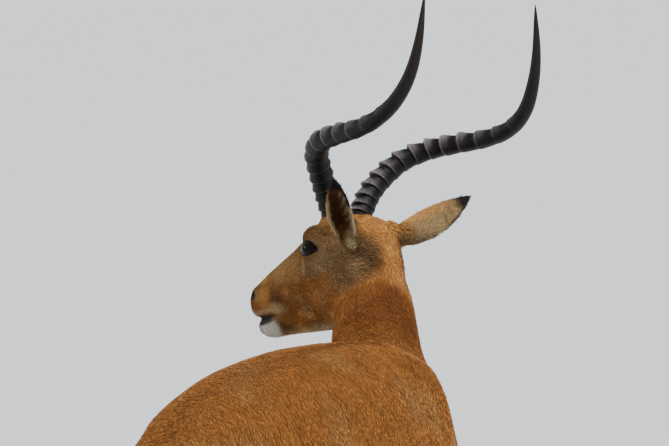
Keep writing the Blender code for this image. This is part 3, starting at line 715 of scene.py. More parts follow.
def ear_layers(points, normals, ear):
    """Tan back with a golden upper edge, dark hollow with pale hair, and a black tip."""
    share, place, hollow, near = ear_coordinates(points, normals, ear)
    front, root = (place, 0.42) if ear[0] == "ear_left" else (-place, 0.29)
    patch = wobble(to_head(points), 2.2)
    back = near * ~hollow
    inner = near * hollow
    margin = near * smoothstep(0.80, 0.93, np.abs(place))
    streak = 0.55 + 0.45 * np.sin(52 * share + 16 * place + 2 * patch)
    return [
        ("ear", back * 0.95),
        ("nape", back * smoothstep(-0.2, 0.7, front) * smoothstep(0.8, 0.5, share) * 0.8),
        ("dusk", back * smoothstep(root, root - 0.18, share + 0.12 * front + 0.05 * patch) * 0.8),
        ("dusk", back * smoothstep(0.3, 1.0, -patch) * 0.5),
        ("black", inner * 0.7),
        ("pale", inner * smoothstep(0.05, -0.5, front) * smoothstep(0.78, 0.6, share) * streak * 0.9),
        ("pale", inner * smoothstep(0.20, 0.13, share) * smoothstep(0.1, -0.6, front) * 0.8),
        ("pale", margin * smoothstep(0.72, 0.62, share) * 0.75),
        ("black", margin * smoothstep(-0.5, -0.9, front) * smoothstep(0.50, 0.58, share)),
        ("black", back * smoothstep(-0.45, -0.75, front) * smoothstep(0.48, 0.6, share) * 0.9),
        ("black", near * smoothstep(0.66, 0.80, share - 0.06 * np.abs(place) + 0.02 * patch)),
    ]


# ---- lie of the coat ---------------------------------------------------------
# ways of the hair on the neck and legs, in the body's frame
NECK_WAY = np.array((-0.267, 0.56, -0.78))
LEG_WAY = np.array((0, 0.12, -1.0))
# place and reach in cm of the whorl at the top of the neck's left side, in the head's frame
WHORL = (2.6, 5.4, -1.9)
WHORL_REACH = 2.2


def lie(points, normals, rng, stray):
    """The way each hair points along the skin, strayed a little at random."""
    body = to_body(points)
    local = to_head(points)
    side = np.clip(body[:, 0] / 2.5, -1, 1)
    way = np.column_stack([0.55 * side, np.full(len(body), 0.42), np.full(len(body), -0.9)])
    neck = smoothstep(-8, -17, body[:, 1]) * smoothstep(70, 78, body[:, 2])
    way += neck[:, None] * (NECK_WAY * 1.1 - way)
    from_whorl = local - np.array(WHORL)
    pull = 1.3 * np.exp(-(np.linalg.norm(from_whorl, axis=1) / WHORL_REACH) ** 2)
    way += pull[:, None] * (unit(from_whorl) @ HEAD_AXES.T)
    head = on_head(points)
    rise = np.where(local[:, 2] > 2, 0.05, -0.28)
    back = np.column_stack([0.10 * np.sign(local[:, 0]), np.ones(len(local)), rise]) @ HEAD_AXES.T
    way += head[:, None] * (back - way)
    way += on_leg(points)[:, None] * (LEG_WAY - way)
    for ear in EARS:
        _share, place, hollow, near = ear_coordinates(points, normals, ear)
        rows = ear_frame(ear[2], ear[3])
        spread = np.column_stack([np.where(hollow, -1.1, 0.5) * place, np.where(hollow, 0.2, 0.0),
                                  np.where(hollow, 0.8, 1.0)])
        way += near[:, None] * (spread @ rows @ HEAD_AXES.T - way)
    way = unit(way - normals * np.sum(way * normals, axis=1, keepdims=True))
    across = np.cross(normals, way)
    turn = 0.22 * wobble(body, 5.0) + 0.16 * wobble(body[:, ::-1], 1.7) + rng.normal(0, 1, len(way)) * stray
    return unit(way * np.cos(turn)[:, None] + across * np.sin(turn)[:, None])


# spacing, length, width, lift of the tip and grizzle of the colour; lengths in mm
HAIR = {
    "trunk": (3.3, 12.0, 1.9, 1.4, 0.23),
    "neck": (3.0, 11.5, 1.8, 1.4, 0.27),
    "nape": (2.8, 11.0, 1.6, 1.4, 0.18),
    "face": (1.9, 7.0, 1.1, 0.8, 0.36),
    "muzzle": (1.45, 4.0, 0.8, 0.45, 0.28),
    "under": (4.8, 18.0, 3.2, 1.4, 0.10),
    "leg": (3.5, 10.0, 2.0, 0.8, 0.13),
    "lid": (1.25, 3.6, 0.7, 0.3, 0.22),
    "ear": (1.9, 7.0, 1.0, 0.7, 0.20),
    "tail": (3.4, 46.0, 2.8, 5.0, 0.12),
    "tuft": (2.2, 22.0, 2.2, 5.0, 0.12),
}


def hair_sizes(points, normals):
    """Spacing, length, width, lift and grizzle at each point, blended from zone to zone."""
    body = to_body(points)
    local = to_head(points)
    head = on_head(points)
    layers = [
        ("under", smoothstep(60, 54, body[:, 2]) * (body[:, 1] > -14)),
        ("neck", smoothstep(-6, -13, body[:, 1]) * smoothstep(60, 70, body[:, 2])),
        ("nape", head),
        ("face", head * smoothstep(-1.0, -5.0, local[:, 1])),
        ("muzzle", head * smoothstep(-15, -21, local[:, 1])),
        ("lid", smoothstep(2.9, 2.3, rim_distance(points)[1])),
        ("leg", on_leg(points)),
        ("tuft", smoothstep(1.1, 0.9, from_fetlock(body, 16.5, (2.6, 2.2, 3.6)))),
        ("tail", on_tail(points)),
    ]
    layers += [("ear", ear_coordinates(points, normals, ear)[3]) for ear in EARS]
    return layered(np.tile(HAIR["trunk"], (len(points), 1)), HAIR, layers)


# roots for each cell before thinning, growth of the cells from one size to the next, and
# how many cells and sizes the numbering of the cells leaves room for
ROOTS_PER_CELL = 3.0
CELL_GROWTH = 1.12
CELL_ROOM = 16384
SIZE_ROOM = 64


def scatter(skin, rng):
    """Roots on the skin, one to each small cell, with their normals."""
    mesh = skin.data
    points = points_of(mesh)
    normals = normals_of(mesh)
    corners = triangles_of(mesh)
    first, second, third = (points[corners[:, i]] for i in range(3))
    area = 0.5 * np.linalg.norm(np.cross(second - first, third - first), axis=1)
    centre = (first + second + third) / 3
    spacing = hair_sizes(centre, unit(normals[corners].sum(axis=1)))[:, 0] * MM
    wanted = ROOTS_PER_CELL * area / spacing ** 2
    count = np.floor(wanted + rng.random(len(wanted))).astype(int)
    face = np.repeat(np.arange(len(corners)), count)
    u, v = rng.random(len(face)), rng.random(len(face))
    flip = u + v > 1
    u, v = np.where(flip, 1 - u, u), np.where(flip, 1 - v, v)
    shares = np.column_stack([1 - u - v, u, v])
    roots = np.einsum("ij,ijk->ik", shares, points[corners[face]])
    up = unit(np.einsum("ij,ijk->ik", shares, normals[corners[face]]))
    size = np.round(np.log(spacing[face] / MM) / math.log(CELL_GROWTH))
    step = MM * CELL_GROWTH ** size
    cells = np.floor(roots / step[:, None]).astype(np.int64) + CELL_ROOM // 2
    number = (cells[:, 0] * CELL_ROOM + cells[:, 1]) * CELL_ROOM + cells[:, 2]
    number = number * SIZE_ROOM + size.astype(np.int64)
    kept = np.sort(np.unique(number, return_index=True)[1])
    return roots[kept], up[kept]


# centre and radii in cm of the bare places of the head: sides and front of the nose, mouth
BARE = (
    ((0.9, -26.5, -0.7), (1.4, 1.4, 0.95)), ((0.0, -27.0, -1.1), (0.95, 1.3, 1.2)),
    ((0.0, -25.4, -4.25), (3.2, 3.6, 0.4)),
)


def bald(points):
    """True where the skin is bare: on the nose, in the mouth and round the globes."""
    local = to_head(points)
    rim, reach = rim_distance(points)
    bare = (reach < EYE_RADIUS + 0.03) | ((reach < EYE_RADIUS + 0.3) & (rim < 0.07))
    for centre, radii in BARE:
        bare |= blob(local, centre, radii) < 1
    return bare


# outline of a tuft: shares of its length, width and lift, and height in thicknesses
TUFT = np.array((
    (0.00, 0.0, 0.00, -0.8), (0.42, -0.5, 0.45, -0.1), (0.42, 0.5, 0.45, -0.1),
    (0.36, 0.0, 0.45, 1.0), (1.00, 0.0, 1.00, 0.0),
))
TUFT_FACES = np.array(((0, 3, 1), (0, 2, 3), (0, 1, 2), (4, 1, 3), (4, 3, 2), (4, 2, 1)))
# painted shade and sheen at those points: darkest at the root, where the hairs shade each other, and a
# painted sheen above 1 at the tip; and width of a tuft on the bake map
TUFT_SHADE_AND_SHEEN = np.array((0.30, 0.55, 0.55, 1.14, 1.35))
PATCH = 0.003
# random shares of a tuft's size and lift, its thickness by its width, and its spread of warmth
SIZE_SPREAD = (0.75, 1.25)
LIFT_SPREAD = (0.4, 1.5)
THICKNESS = 0.24
WARMTH = 0.05


def tufts(name, roots, normals, ways, sizes, rgb, places, rng):
    """One closed lens of hair at each root, as one mesh with its colours and its bake map."""
    count = len(roots)
    long = sizes[:, 1] * MM * rng.uniform(*SIZE_SPREAD, count)
    wide = sizes[:, 2] * MM * rng.uniform(*SIZE_SPREAD, count)
    lift = sizes[:, 3] * MM * rng.uniform(*LIFT_SPREAD, count)
    thick = THICKNESS * wide
    across = np.cross(normals, ways)
    along = TUFT[None, :, 0] * long[:, None]
    sideways = TUFT[None, :, 1] * wide[:, None]
    height = TUFT[None, :, 2] * lift[:, None] + TUFT[None, :, 3] * thick[:, None]
    points = (roots[:, None] + along[..., None] * ways[:, None] + sideways[..., None] * across[:, None]
              + height[..., None] * normals[:, None])
    faces = TUFT_FACES[None] + len(TUFT) * np.arange(count)[:, None, None]
    obj = new_mesh(name, points.reshape(-1, 3), faces.reshape(-1, 3))
    tone = np.exp(rng.normal(0, 1, count) * sizes[:, 4])
    warm = rng.normal(0, WARMTH, count)
    tint = rgb * tone[:, None] * np.column_stack([1 + warm, np.ones(count), 1 - warm])
    # each tuft's colour darkened with painted shade at the root and lightened with a painted sheen at the
    # tip
    store_colour(obj, np.clip(tint[:, None] * TUFT_SHADE_AND_SHEEN[None, :, None], 0, 1).reshape(-1, 3))
    corner = np.column_stack([TUFT[:, 1], TUFT[:, 0] - 0.5]) * PATCH
    flat = (places[:, None] + corner[None]).reshape(-1, 2)
    layer = obj.data.uv_layers.new(name="OFBake")
    corners = read(obj.data.loops, "vertex_index", 1, np.int32).ravel()
    layer.data.foreach_set("uv", flat[corners].astype(np.float32).ravel())
    return obj


def around_axis(points, start, end):
    """A cylindrical unwrap about a line of the body: angle across, distance up, both 0.01 to 0.99."""
    body = to_body(points)
    start, end = np.array(start, float), np.array(end, float)
    axis = unit(end - start)
    side = unit(np.cross(axis, (0.0, 0.0, 1.0) if abs(axis[2]) < 0.9 else (0.0, 1.0, 0.0)))
    other = np.cross(axis, side)
    off = body - start
    angle = np.arctan2(off @ other, off @ side) / (2 * math.pi) + 0.5
    along = off @ axis
    rise = (along - along.min()) / max(np.ptp(along), 1e-6)
    return 0.01 + 0.98 * np.column_stack([angle, rise])


# lines of the body about which the coat's pieces are unwrapped, in cm
TRUNK_AXIS = ((0, -20, 68), (0, 80, 68))
NECK_AXIS = ((1.2, -7.0, 70), (11.0, -26.0, 94.0))
HEAD_AXIS = ((11.9, -25.7, 96.2), (37.3, -32.7, 91.2))
TAIL_AXIS = ((0, 79, 40), (0, 79, 80))
# most tufts of a piece, which keeps it below 200,000 triangles
PIECE_TUFTS = 32000


def coat_pieces(points, normals):
    """(name, tufts' numbers, unwrapped places) of each of the coat's pieces."""
    body = to_body(points)
    head = on_head(points) > 0.5
    ears = np.zeros(len(points), bool)
    places = np.zeros((len(points), 2))
    for index, ear in enumerate(EARS):
        share, place, hollow, near = ear_coordinates(points, normals, ear)
        mine = near > 0.5
        ears |= mine
        column = (2 * index + hollow + 0.5 + 0.45 * place) / 4
        places[mine] = 0.01 + 0.98 * np.clip(np.column_stack([column, share]), 0, 1)[mine]
    leg = (on_leg(points) > 0.5) & ~head & ~ears
    tail = (on_tail(points) > 0.5) & ~ears
    fore = body[:, 1] < FORE_HALF
    left = body[:, 0] > 0
    for index, mine in enumerate((left & fore, ~left & fore, left & ~fore, ~left & ~fore)):
        mine = mine & leg
        x, y, _z = body[mine].mean(axis=0)
        turn = around_axis(points[mine], (x, y, 0), (x, y, 50))
        places[mine] = np.column_stack([(index + turn[:, 0]) / 4, turn[:, 1]])
    neck = ~head & ~ears & ~leg & ~tail & (body[:, 1] - 0.55 * (body[:, 2] - 78) < -11)
    trunk = ~(head | ears | leg | tail | neck)
    pieces = [(name, np.nonzero(mine)[0], places[mine])
              for name, mine in (("ears", ears), ("forelegs", leg & fore), ("hindlegs", leg & ~fore))]
    for name, mine, axis, along in (("head", head & ~ears, HEAD_AXIS, to_head(points)[:, 1]),
                                    ("neck", neck, NECK_AXIS, body[:, 1]),
                                    ("trunk", trunk, TRUNK_AXIS, body[:, 1])):
        order = np.nonzero(mine)[0]
        order = order[np.argsort(along[order], kind="stable")]
        for part, chosen in enumerate(np.array_split(order, math.ceil(len(order) / PIECE_TUFTS))):
            chosen = np.sort(chosen)
            pieces.append((f"{name}_{part + 1}", chosen, around_axis(points[chosen], *axis)))
    pieces.append(("tail", np.nonzero(tail)[0], around_axis(points[tail], *TAIL_AXIS)))
    return pieces


def coat_material():
    """Damp hair: its markings with each tuft's painted shade and sheen, a little lighter and darker in
    patches, with a soft shine.
    """
    mat, shader = new_material("hair_coat")
    tone = node(mat, "Attribute", attribute_name="coat").outputs["Color"]
    place = node(mat, "TexCoord").outputs["Object"]
    patches = node(mat, "TexNoise", {"Vector": place, "Scale": 34.0, "Detail": 3.0}).outputs["Fac"]
    value = node(mat, "MapRange", {"Value": patches, "From Min": 0.3, "From Max": 0.7,
                                   "To Min": 0.82, "To Max": 1.15}).outputs["Result"]
    varied = node(mat, "HueSaturation", {"Color": tone, "Value": value}).outputs["Color"]
    wire(mat, shader, {"Base Color": varied, "Roughness": 0.6, "IOR": 1.55,
                       "Specular IOR Level": 0.16})
    return mat


def make_coat(skin, lids, colours, values):
    """The coat's pieces, grown from roots on the skin and the lids."""
    rng = np.random.default_rng(values.seed)
    grounds = [scatter(ground, rng) for ground in (skin, *lids)]
    roots, normals = (np.vstack(rows) for rows in zip(*grounds))
    kept = ~bald(roots)
    roots, normals = roots[kept], normals[kept]
    ways = lie(roots, normals, rng, values.stray)
    sizes = hair_sizes(roots, normals)
    rgb = marked(roots, normals, colours)
    return [tufts("coat_" + name, roots[mine], normals[mine], ways[mine], sizes[mine], rgb[mine],
                  places, rng)
            for name, mine, places in coat_pieces(roots, normals)]


# ---- horns -------------------------------------------------------------------
# the horn's centre line in cm in the head's frame: up and out, back, then up to the tip
HORN_ROUTE = (
    (1.8, -6.9, 7.2), (3.5, -6.8, 10.0), (5.2, -6.2, 13.0), (7.4, -5.0, 15.6), (9.9, -3.2, 17.8),
    (12.4, 0.2, 19.1), (13.7, 4.8, 19.4), (14.7, 9.6, 19.5), (15.2, 14.0, 20.3),
    (14.9, 17.7, 22.4), (14.2, 20.4, 26.0), (13.6, 22.2, 31.0), (12.8, 23.4, 38.0),
)
ROUTE_STEPS = 24
# the smooth base: its length in cm, its rows and their spacing as a share of the horn
HORN_BASE = 2.4
BASE_ROWS = 6
BASE_SPACING = 1 / 160
# the ridges: how many, the pitch of the first in cm and what each next one adds to it, and
# the places within the pitch of the rows that shape it
RIDGES = 14
RIDGE_FIRST = 1.3
RIDGE_GROWTH = 0.085
RIDGE_ROWS = (0.0, 0.03, 0.07, 0.11, 0.16, 0.22, 0.32, 0.46, 0.62, 0.78, 0.90)
# where a ridge's lip stands in its pitch, the share of its height left at the back of the
# horn, and the knobs round it with their height as a share of the ridge's
RIDGE_LIP = 0.13
RIDGE_BACK = 0.24
KNOBS = 5
KNOB_HEIGHT = 0.22
TIP_ROWS = 36


def horn_rows(whole):
    """(distance along the horn, place within its ridge, strength of the ridge) of each row."""
    rows = [(whole * BASE_SPACING * k, 0.5, 0.0) for k in range(BASE_ROWS)]
    for k in range(RIDGES):
        start = HORN_BASE + RIDGE_FIRST * k + RIDGE_GROWTH * k * k
        pitch = RIDGE_FIRST + RIDGE_GROWTH * (2 * k + 1)
        fade = 1.0 if k < RIDGES - 4 else (RIDGES - k) / 5
        rows += [(start + pitch * place, place, fade) for place in RIDGE_ROWS]
    last = rows[-1][0]
    return rows + [(last + (whole - last) * (k / TIP_ROWS) ** 0.85, 0.5, 0.0)
                   for k in range(1, TIP_ROWS + 1)]


def ridge_height(place):
    """Steep on the side of the skull, a lip, then a long slope towards the tip."""
    if place < RIDGE_LIP:
        return -0.5 + 1.5 * (place / RIDGE_LIP) ** 1.4
    return 1.0 - 1.5 * ((place - RIDGE_LIP) / (1 - RIDGE_LIP)) ** 0.8


def ridge_wear_and_shade(place, front_share):
    """Pale on the worn lip, as wear with painted light, and painted shade in the groove on the skull's side
    of it and over the horn's back.
    """
    lip = math.exp(-((place - 0.14) / 0.05) ** 2) * (0.3 + 0.7 * front_share)
    band = smoothstep(0.02, 0.2, place) * smoothstep(0.98, 0.35, place) * (0.08 + 0.62 * front_share)
    return lip + band * (1 - lip)


def make_horn(name, side, values):
    """One horn along its line, with its ridges standing out most in front."""
    route = catmull([(side * x, y, z) for x, y, z in HORN_ROUTE], ROUTE_STEPS)
    steps = np.linalg.norm(np.diff(route, axis=0), axis=1)
    travelled = np.concatenate(([0.0], np.cumsum(steps)))
    whole = travelled[-1]
    angles = circle(values.sides)
    base = values.radius / CM
    rings, rub = [], []

    def at(distance):
        return np.array([np.interp(distance, travelled, route[:, i]) for i in range(3)])

    for distance, place, strength in horn_rows(whole):
        tangent = unit(at(min(distance + 0.5, whole)) - at(max(distance - 0.5, 0)))
        front = unit(np.cross((1.0, 0.0, 0.0), tangent))
        outward = np.cross(tangent, front)
        share = min(distance / whole, 1.0)
        radius = base * (1 - share ** 2.4) ** 0.8 + 0.06
        turn = side * (0.6 - 0.55 * smoothstep(0.16, 0.28, share))
        front_share = (0.5 + 0.5 * np.cos(angles + turn)) ** 1.3
        toward = RIDGE_BACK + (1 - RIDGE_BACK) * front_share
        knob = 1 + KNOB_HEIGHT * np.sin(KNOBS * angles + 3.1 * distance) * smoothstep(0.4, 0.7, toward)
        swell = strength * ridge_height(place) * toward * knob
        reach = radius * (1 - 0.05 * np.cos(2 * angles)) + swell * values.ridge / CM
        tilt = 0.22 * strength * np.cos(angles)
        ring = (at(distance) + np.outer(reach * np.cos(angles), front)
                + np.outer(reach * np.sin(angles), outward) - np.outer(tilt, tangent))
        rings.append(ring)
        # wear with painted light on the ridges' lips and faces, painted shade in the grooves and on the
        # horn's back
        wear_and_shade = strength * ridge_wear_and_shade(place, front_share) + (1 - strength) * (0.12 + 0.2 * front_share)
        rub.append(np.column_stack([wear_and_shade, np.full(values.sides, share)]))
    tip = at(whole) + unit(at(whole) - at(whole - 0.5)) * 0.12
    obj = new_mesh(name, from_head(np.vstack([*rings, tip])),
                   [ring_faces(len(rings), values.sides),
                    fan(len(rings) - 1, values.sides, len(rings) * values.sides)])
    for label, column in zip(("rub", "along"), np.vstack([*rub, (0.2, 1)]).T):
        store(obj, label, "FLOAT", column)
    return obj


def horn_material(colours):
    """Keratin of a living horn: painted shade in its grooves and on its back, rubbed grey and chalky on its
    ridges, with painted light on their faces.
    """
    mat, shader = new_material("keratin_horn")
    rub = node(mat, "Attribute", attribute_name="rub").outputs["Fac"]
    along = node(mat, "Attribute", attribute_name="along").outputs["Fac"]
    place = node(mat, "TexCoord").outputs["Object"]
    grain = node(mat, "TexNoise", {"Vector": place, "Scale": 420.0, "Detail": 6.0,
                                   "Roughness": 0.65}).outputs["Fac"]
    patches = node(mat, "TexNoise", {"Vector": place, "Scale": 60.0, "Detail": 3.0}).outputs["Fac"]
    spread = node(mat, "MapRange", {"Value": grain, "From Min": 0.3, "From Max": 0.7,
                                    "To Min": 0.55, "To Max": 1.35}).outputs["Result"]
    wear_and_shade = node(mat, "Math", {0: rub, 1: spread}, operation="MULTIPLY").outputs[0]
    # the near black low end is painted shade in the grooves and on the horn's back
    body = node(mat, "ValToRGB", {"Fac": wear_and_shade},
                ((0.02, linear("050404")), (0.20, colours.horn), (0.50, linear("655e5f")),
                 (0.90, colours.ridge))).outputs["Color"]
    fade = node(mat, "MapRange", {"Value": along, "From Min": 0.62, "From Max": 0.9}).outputs["Result"]
    tipped = node(mat, "Mix", {0: fade, 6: body, 7: (*colours.tip, 1.0)}, data_type="RGBA").outputs[2]
    dusty = node(mat, "Mix", {0: patches, 6: tipped, 7: (0.55, 0.53, 0.52, 1.0)},
                 data_type="RGBA", blend_type="MULTIPLY").outputs[2]
    bump = node(mat, "Bump", {"Height": grain, "Strength": 0.5, "Distance": 0.5 * MM}).outputs["Normal"]
    wire(mat, shader, {"Base Color": dusty, "Normal": bump, "Roughness": 0.5, "IOR": 1.54,
                       "Specular IOR Level": 0.16})
    return mat


# ---- eyes --------------------------------------------------------------------
EYE_SIDES = 48
EYE_ROWS = 28
# height of the cornea as a share of the globe's radius, and its edge in radians
CORNEA = 0.035
CORNEA_EDGE = 0.75


def make_eye(name, side):
    """A globe with a low cornea, its pole the way the eye looks."""
    angles = circle(EYE_SIDES)
    rings = []
    for polar in math.pi * np.arange(1, EYE_ROWS) / EYE_ROWS:
        ring = np.column_stack([np.cos(angles) * math.sin(polar), np.sin(angles) * math.sin(polar),
                                np.full(EYE_SIDES, math.cos(polar))])
        rings.append(ring * EYE_RADIUS * (1 + CORNEA * max(0.0, 1 - (polar / CORNEA_EDGE) ** 2)))
    local = np.vstack([*rings, (0, 0, EYE_RADIUS * (1 + CORNEA)), (0, 0, -EYE_RADIUS)])
    last = len(local) - 1
    faces = [ring_faces(len(rings), EYE_SIDES)[:, ::-1], fan(0, EYE_SIDES, last - 1),
             fan(len(rings) - 1, EYE_SIDES, last)[:, ::-1]]
    axes = eye_axes(side)
    if np.linalg.det(axes) < 0:
        faces = [group[:, ::-1] for group in faces]
    obj = new_mesh(name, from_head(eye_centre(side) + local @ axes), faces)
    store(obj, "gaze", "FLOAT_VECTOR", local)
    return obj


def eye_material(colours):
    """Wet cornea over a dark iris with a level pupil: nearly black, with sharp highlights."""
    mat, shader = new_material("wet_eye")
    gaze = node(mat, "Attribute", attribute_name="gaze").outputs["Vector"]
    flat = node(mat, "VectorMath", {0: gaze, 1: (1.0, 2.1, 0.0)}, operation="MULTIPLY").outputs[0]
    reach = node(mat, "VectorMath", {0: flat}, operation="LENGTH").outputs["Value"]
    rays = node(mat, "TexNoise", {"Vector": gaze, "Scale": 9.0, "Detail": 3.0}).outputs["Fac"]
    iris = node(mat, "ValToRGB", {"Fac": rays},
                ((0.3, colours.iris), (0.75, linear("1c110a")))).outputs["Color"]
    pupil = node(mat, "ValToRGB", {"Fac": reach},
                 ((0.62, (0, 0, 0)), (0.72, (1, 1, 1)))).outputs["Color"]
    seen = node(mat, "Mix", {0: pupil, 6: (*linear("050404"), 1.0), 7: iris}, data_type="RGBA").outputs[2]
    wire(mat, shader, {"Base Color": seen, "Roughness": 0.08, "IOR": 1.376, "Specular IOR Level": 0.2})
    return mat


# distance out from the opening's edge and height over the globe, in cm
LID_ROWS = catmull((
    (-0.10, -0.10), (-0.03, -0.01), (0.01, 0.04), (0.06, 0.07), (0.12, 0.085), (0.20, 0.075), (0.30, 0.11),
), 2)
# how far the lids run out over the skin and how far they dip into it there, in cm; the rows
# of that part and the steps round the eye
LID_REACH = 3.0
LID_DIP = 0.12
LID_BLEND = 12
LID_SIDES = 96
# in cm over the eye's centre: where the search for the skin starts and the height taken if
# it misses; and the step out that gives the skin's slope
SEARCH_HEIGHT = 5.0
MISSED_HEIGHT = -1.5
SLOPE_STEP = 0.5


def make_lids(name, side, skin):
    """Upper and lower lid as one rim round the globe that runs out flush into the skin."""
    axes = eye_axes(side)
    centre = eye_centre(side)
    angles = circle(LID_SIDES)
    tree = BVHTree.FromPolygons([tuple(point) for point in to_head(points_of(skin.data))],
                                [tuple(face) for face in triangles_of(skin.data)])

    def ground(flat, cos, sin):
        """Height over the eye's centre of the skin beside the eye."""
        start = centre + flat * (cos * axes[0] + sin * axes[1]) + SEARCH_HEIGHT * axes[2]
        hit = tree.ray_cast(Vector(start), Vector(-axes[2]))[0]
        return (np.array(hit) - centre) @ axes[2] if hit else MISSED_HEIGHT

    columns = []
    for cos, sin in zip(np.cos(angles), np.sin(angles)):
        polar = lid_opening(cos, sin) + LID_ROWS[:, 0] / EYE_RADIUS
        radius = EYE_RADIUS + LID_ROWS[:, 1]
        rim = np.column_stack([radius * np.sin(polar), radius * np.cos(polar)])
        slope = np.array((math.cos(polar[-1]), -math.sin(polar[-1])))
        near, far = ground(LID_REACH, cos, sin), ground(LID_REACH + SLOPE_STEP, cos, sin)
        end = np.array((LID_REACH, near - 0.02))
        leave = unit(np.array((SLOPE_STEP, far - near)))
        span = np.linalg.norm(end - rim[-1])
        share = np.linspace(0, 1, LID_BLEND + 1)[1:, None]
        curve = ((1 + 2 * share) * (1 - share) ** 2 * rim[-1] + share * (1 - share) ** 2 * slope * span
                 + share ** 2 * (3 - 2 * share) * end + share ** 2 * (share - 1) * leave * span)
        tail = end + leave * 0.3 - (0, LID_DIP)
        columns.append(np.vstack([rim, curve, tail]))
    flat, high = (np.array(columns)[..., axis].T.copy() for axis in (0, 1))
    high[len(LID_ROWS):] = sum(np.roll(high[len(LID_ROWS):], shift, axis=1) for shift in range(-2, 3)) / 5
    way = np.cos(angles)[:, None] * axes[0] + np.sin(angles)[:, None] * axes[1]
    points = centre + flat[..., None] * way[None] + high[..., None] * axes[2]
    faces = ring_faces(len(flat), LID_SIDES)
    if np.linalg.det(axes) > 0:
        faces = faces[:, ::-1]
    return new_mesh(name, from_head(points.reshape(-1, 3)), faces)


# ---- hooves ------------------------------------------------------------------
HOOF_SIDES = 40
# share of the height, shift back, and half width and length as shares of the solid's
HOOF_STATIONS = catmull(((0.0, 0.0, 0.94, 0.98), (0.04, 0.0, 0.99, 1.0), (0.15, 0.01, 1.0, 0.98),
                         (0.6, 0.14, 0.9, 0.80), (1.0, 0.26, 0.74, 0.58)), 8)


def make_hoof(name):
    """One claw to its solid's box: flat sole, sloping wall with growth rings, blunt toe."""
    low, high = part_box(name)
    centre = (low + high) / 2
    half = (high - low) / 2
    angles = circle(HOOF_SIDES)
    along = -np.cos(angles)
    pinch = 1 - 0.42 * np.maximum(0.0, -along) ** 2
    across = pinch * np.sign(np.sin(angles)) * np.abs(np.sin(angles)) ** 0.85
    rings = []
    for step, (height, back, width, length_share) in enumerate(HOOF_STATIONS):
        growth = 1 + 0.012 * math.sin(step * 2.1)
        rings.append(np.column_stack([
            centre.x + half.x * width * growth * across,
            centre.y + half.y * (back + length_share * growth * along),
            np.full(HOOF_SIDES, low.z + 2 * half.z * min(max(height, 0.0), 1.0))]))
    ends = ((centre.x, centre.y, low.z), (centre.x, centre.y + HOOF_STATIONS[-1][1] * half.y, high.z))
    count = len(rings) * HOOF_SIDES
    return new_mesh(name.replace("hoof", "claw"), np.vstack([*rings, *ends]),
                    [ring_faces(len(rings), HOOF_SIDES), fan(0, HOOF_SIDES, count)[:, ::-1],
                     fan(len(rings) - 1, HOOF_SIDES, count + 1)])


def hoof_material(colours):
    """Worn keratin of a hoof: near black, brushed along the wall, with a dull polish."""
    mat, shader = new_material("keratin_hoof")
    place = node(mat, "TexCoord").outputs["Object"]
    stretched = node(mat, "Mapping", {"Vector": place, "Scale": (1.0, 1.0, 5.0)}).outputs[0]
    grain = node(mat, "TexNoise", {"Vector": stretched, "Scale": 260.0, "Detail": 5.0}).outputs["Fac"]
    tone = node(mat, "ValToRGB", {"Fac": grain},
                ((0.3, linear("100d0b")), (0.7, colours.hoof), (0.9, linear("4a4038")))).outputs["Color"]
    bump = node(mat, "Bump", {"Height": grain, "Strength": 0.4, "Distance": 0.4 * MM}).outputs["Normal"]
    wire(mat, shader, {"Base Color": tone, "Normal": bump, "Roughness": 0.48, "IOR": 1.54})
    return mat


# ---- skin material -----------------------------------------------------------
def skin_material():
    """Hide under a short coat: the coat's own markings, darkened in flecks with painted shade of the hair
    over it, with the hair's fine bump.
    """
    mat, shader = new_material("hide")
    tone = node(mat, "Attribute", attribute_name="coat").outputs["Color"]
    place = node(mat, "TexCoord").outputs["Object"]
    hair = node(mat, "TexNoise", {"Vector": place, "Scale": 700.0, "Detail": 4.0,
                                  "Roughness": 0.6}).outputs["Fac"]
    # painted shade: flecks down to 0.4 of the hide's colour, where the hair shades the skin
    shadow = node(mat, "ValToRGB", {"Fac": hair},
                  ((0.35, (0.40, 0.36, 0.34)), (0.65, (1.0, 1.0, 1.0)))).outputs["Color"]
    dark = node(mat, "Mix", {0: 1.0, 6: tone, 7: shadow}, data_type="RGBA", blend_type="MULTIPLY")
    bump = node(mat, "Bump", {"Height": hair, "Strength": 0.6, "Distance": 0.6 * MM}).outputs["Normal"]
    wire(mat, shader, {"Base Color": dark.outputs[2], "Normal": bump, "Roughness": 0.75,
                       "Specular IOR Level": 0.15})
    return mat


# ---- operators ---------------------------------------------------------------
class IMPALA_OT_skin(bpy.types.Operator):
    """Build the one skin that stands for all the flesh, with its lids"""
    bl_idname = "impala.skin"
    bl_label = "Skin"

    def execute(self, context):
        colours = context.scene.impala_colours
        skin = make_skin(context.scene.impala_skin)
        hide = skin_material()
        store_colour(skin, marked(points_of(skin.data), normals_of(skin.data), colours))
        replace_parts(shade(skin, hide), *FLESH)
        for label, side in SIDES:
            lids = make_lids("lids_" + label, side, skin)
            store_colour(lids, marked(points_of(lids.data), normals_of(lids.data), colours))
            shade(lids, hide)
        return {"FINISHED"}


class IMPALA_OT_coat(bpy.types.Operator):
    """Lay the coat's tufts over the skin"""
    bl_idname = "impala.coat"
    bl_label = "Coat"

    def execute(self, context):
        hair = coat_material()
        lids = [bpy.data.objects["lids_" + label] for label, _side in SIDES]
        for piece in make_coat(bpy.data.objects["skin"], lids, context.scene.impala_colours,
                               context.scene.impala_coat):
            shade(piece, hair)
        return {"FINISHED"}


class IMPALA_OT_eyes(bpy.types.Operator):
    """Build the two eyeballs in their sockets"""
    bl_idname = "impala.eyes"
    bl_label = "Eyes"

    def execute(self, context):
        wet = eye_material(context.scene.impala_colours)
        for label, side in SIDES:
            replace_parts(shade(make_eye("globe_" + label, side), wet), "eye_" + label)
        return {"FINISHED"}


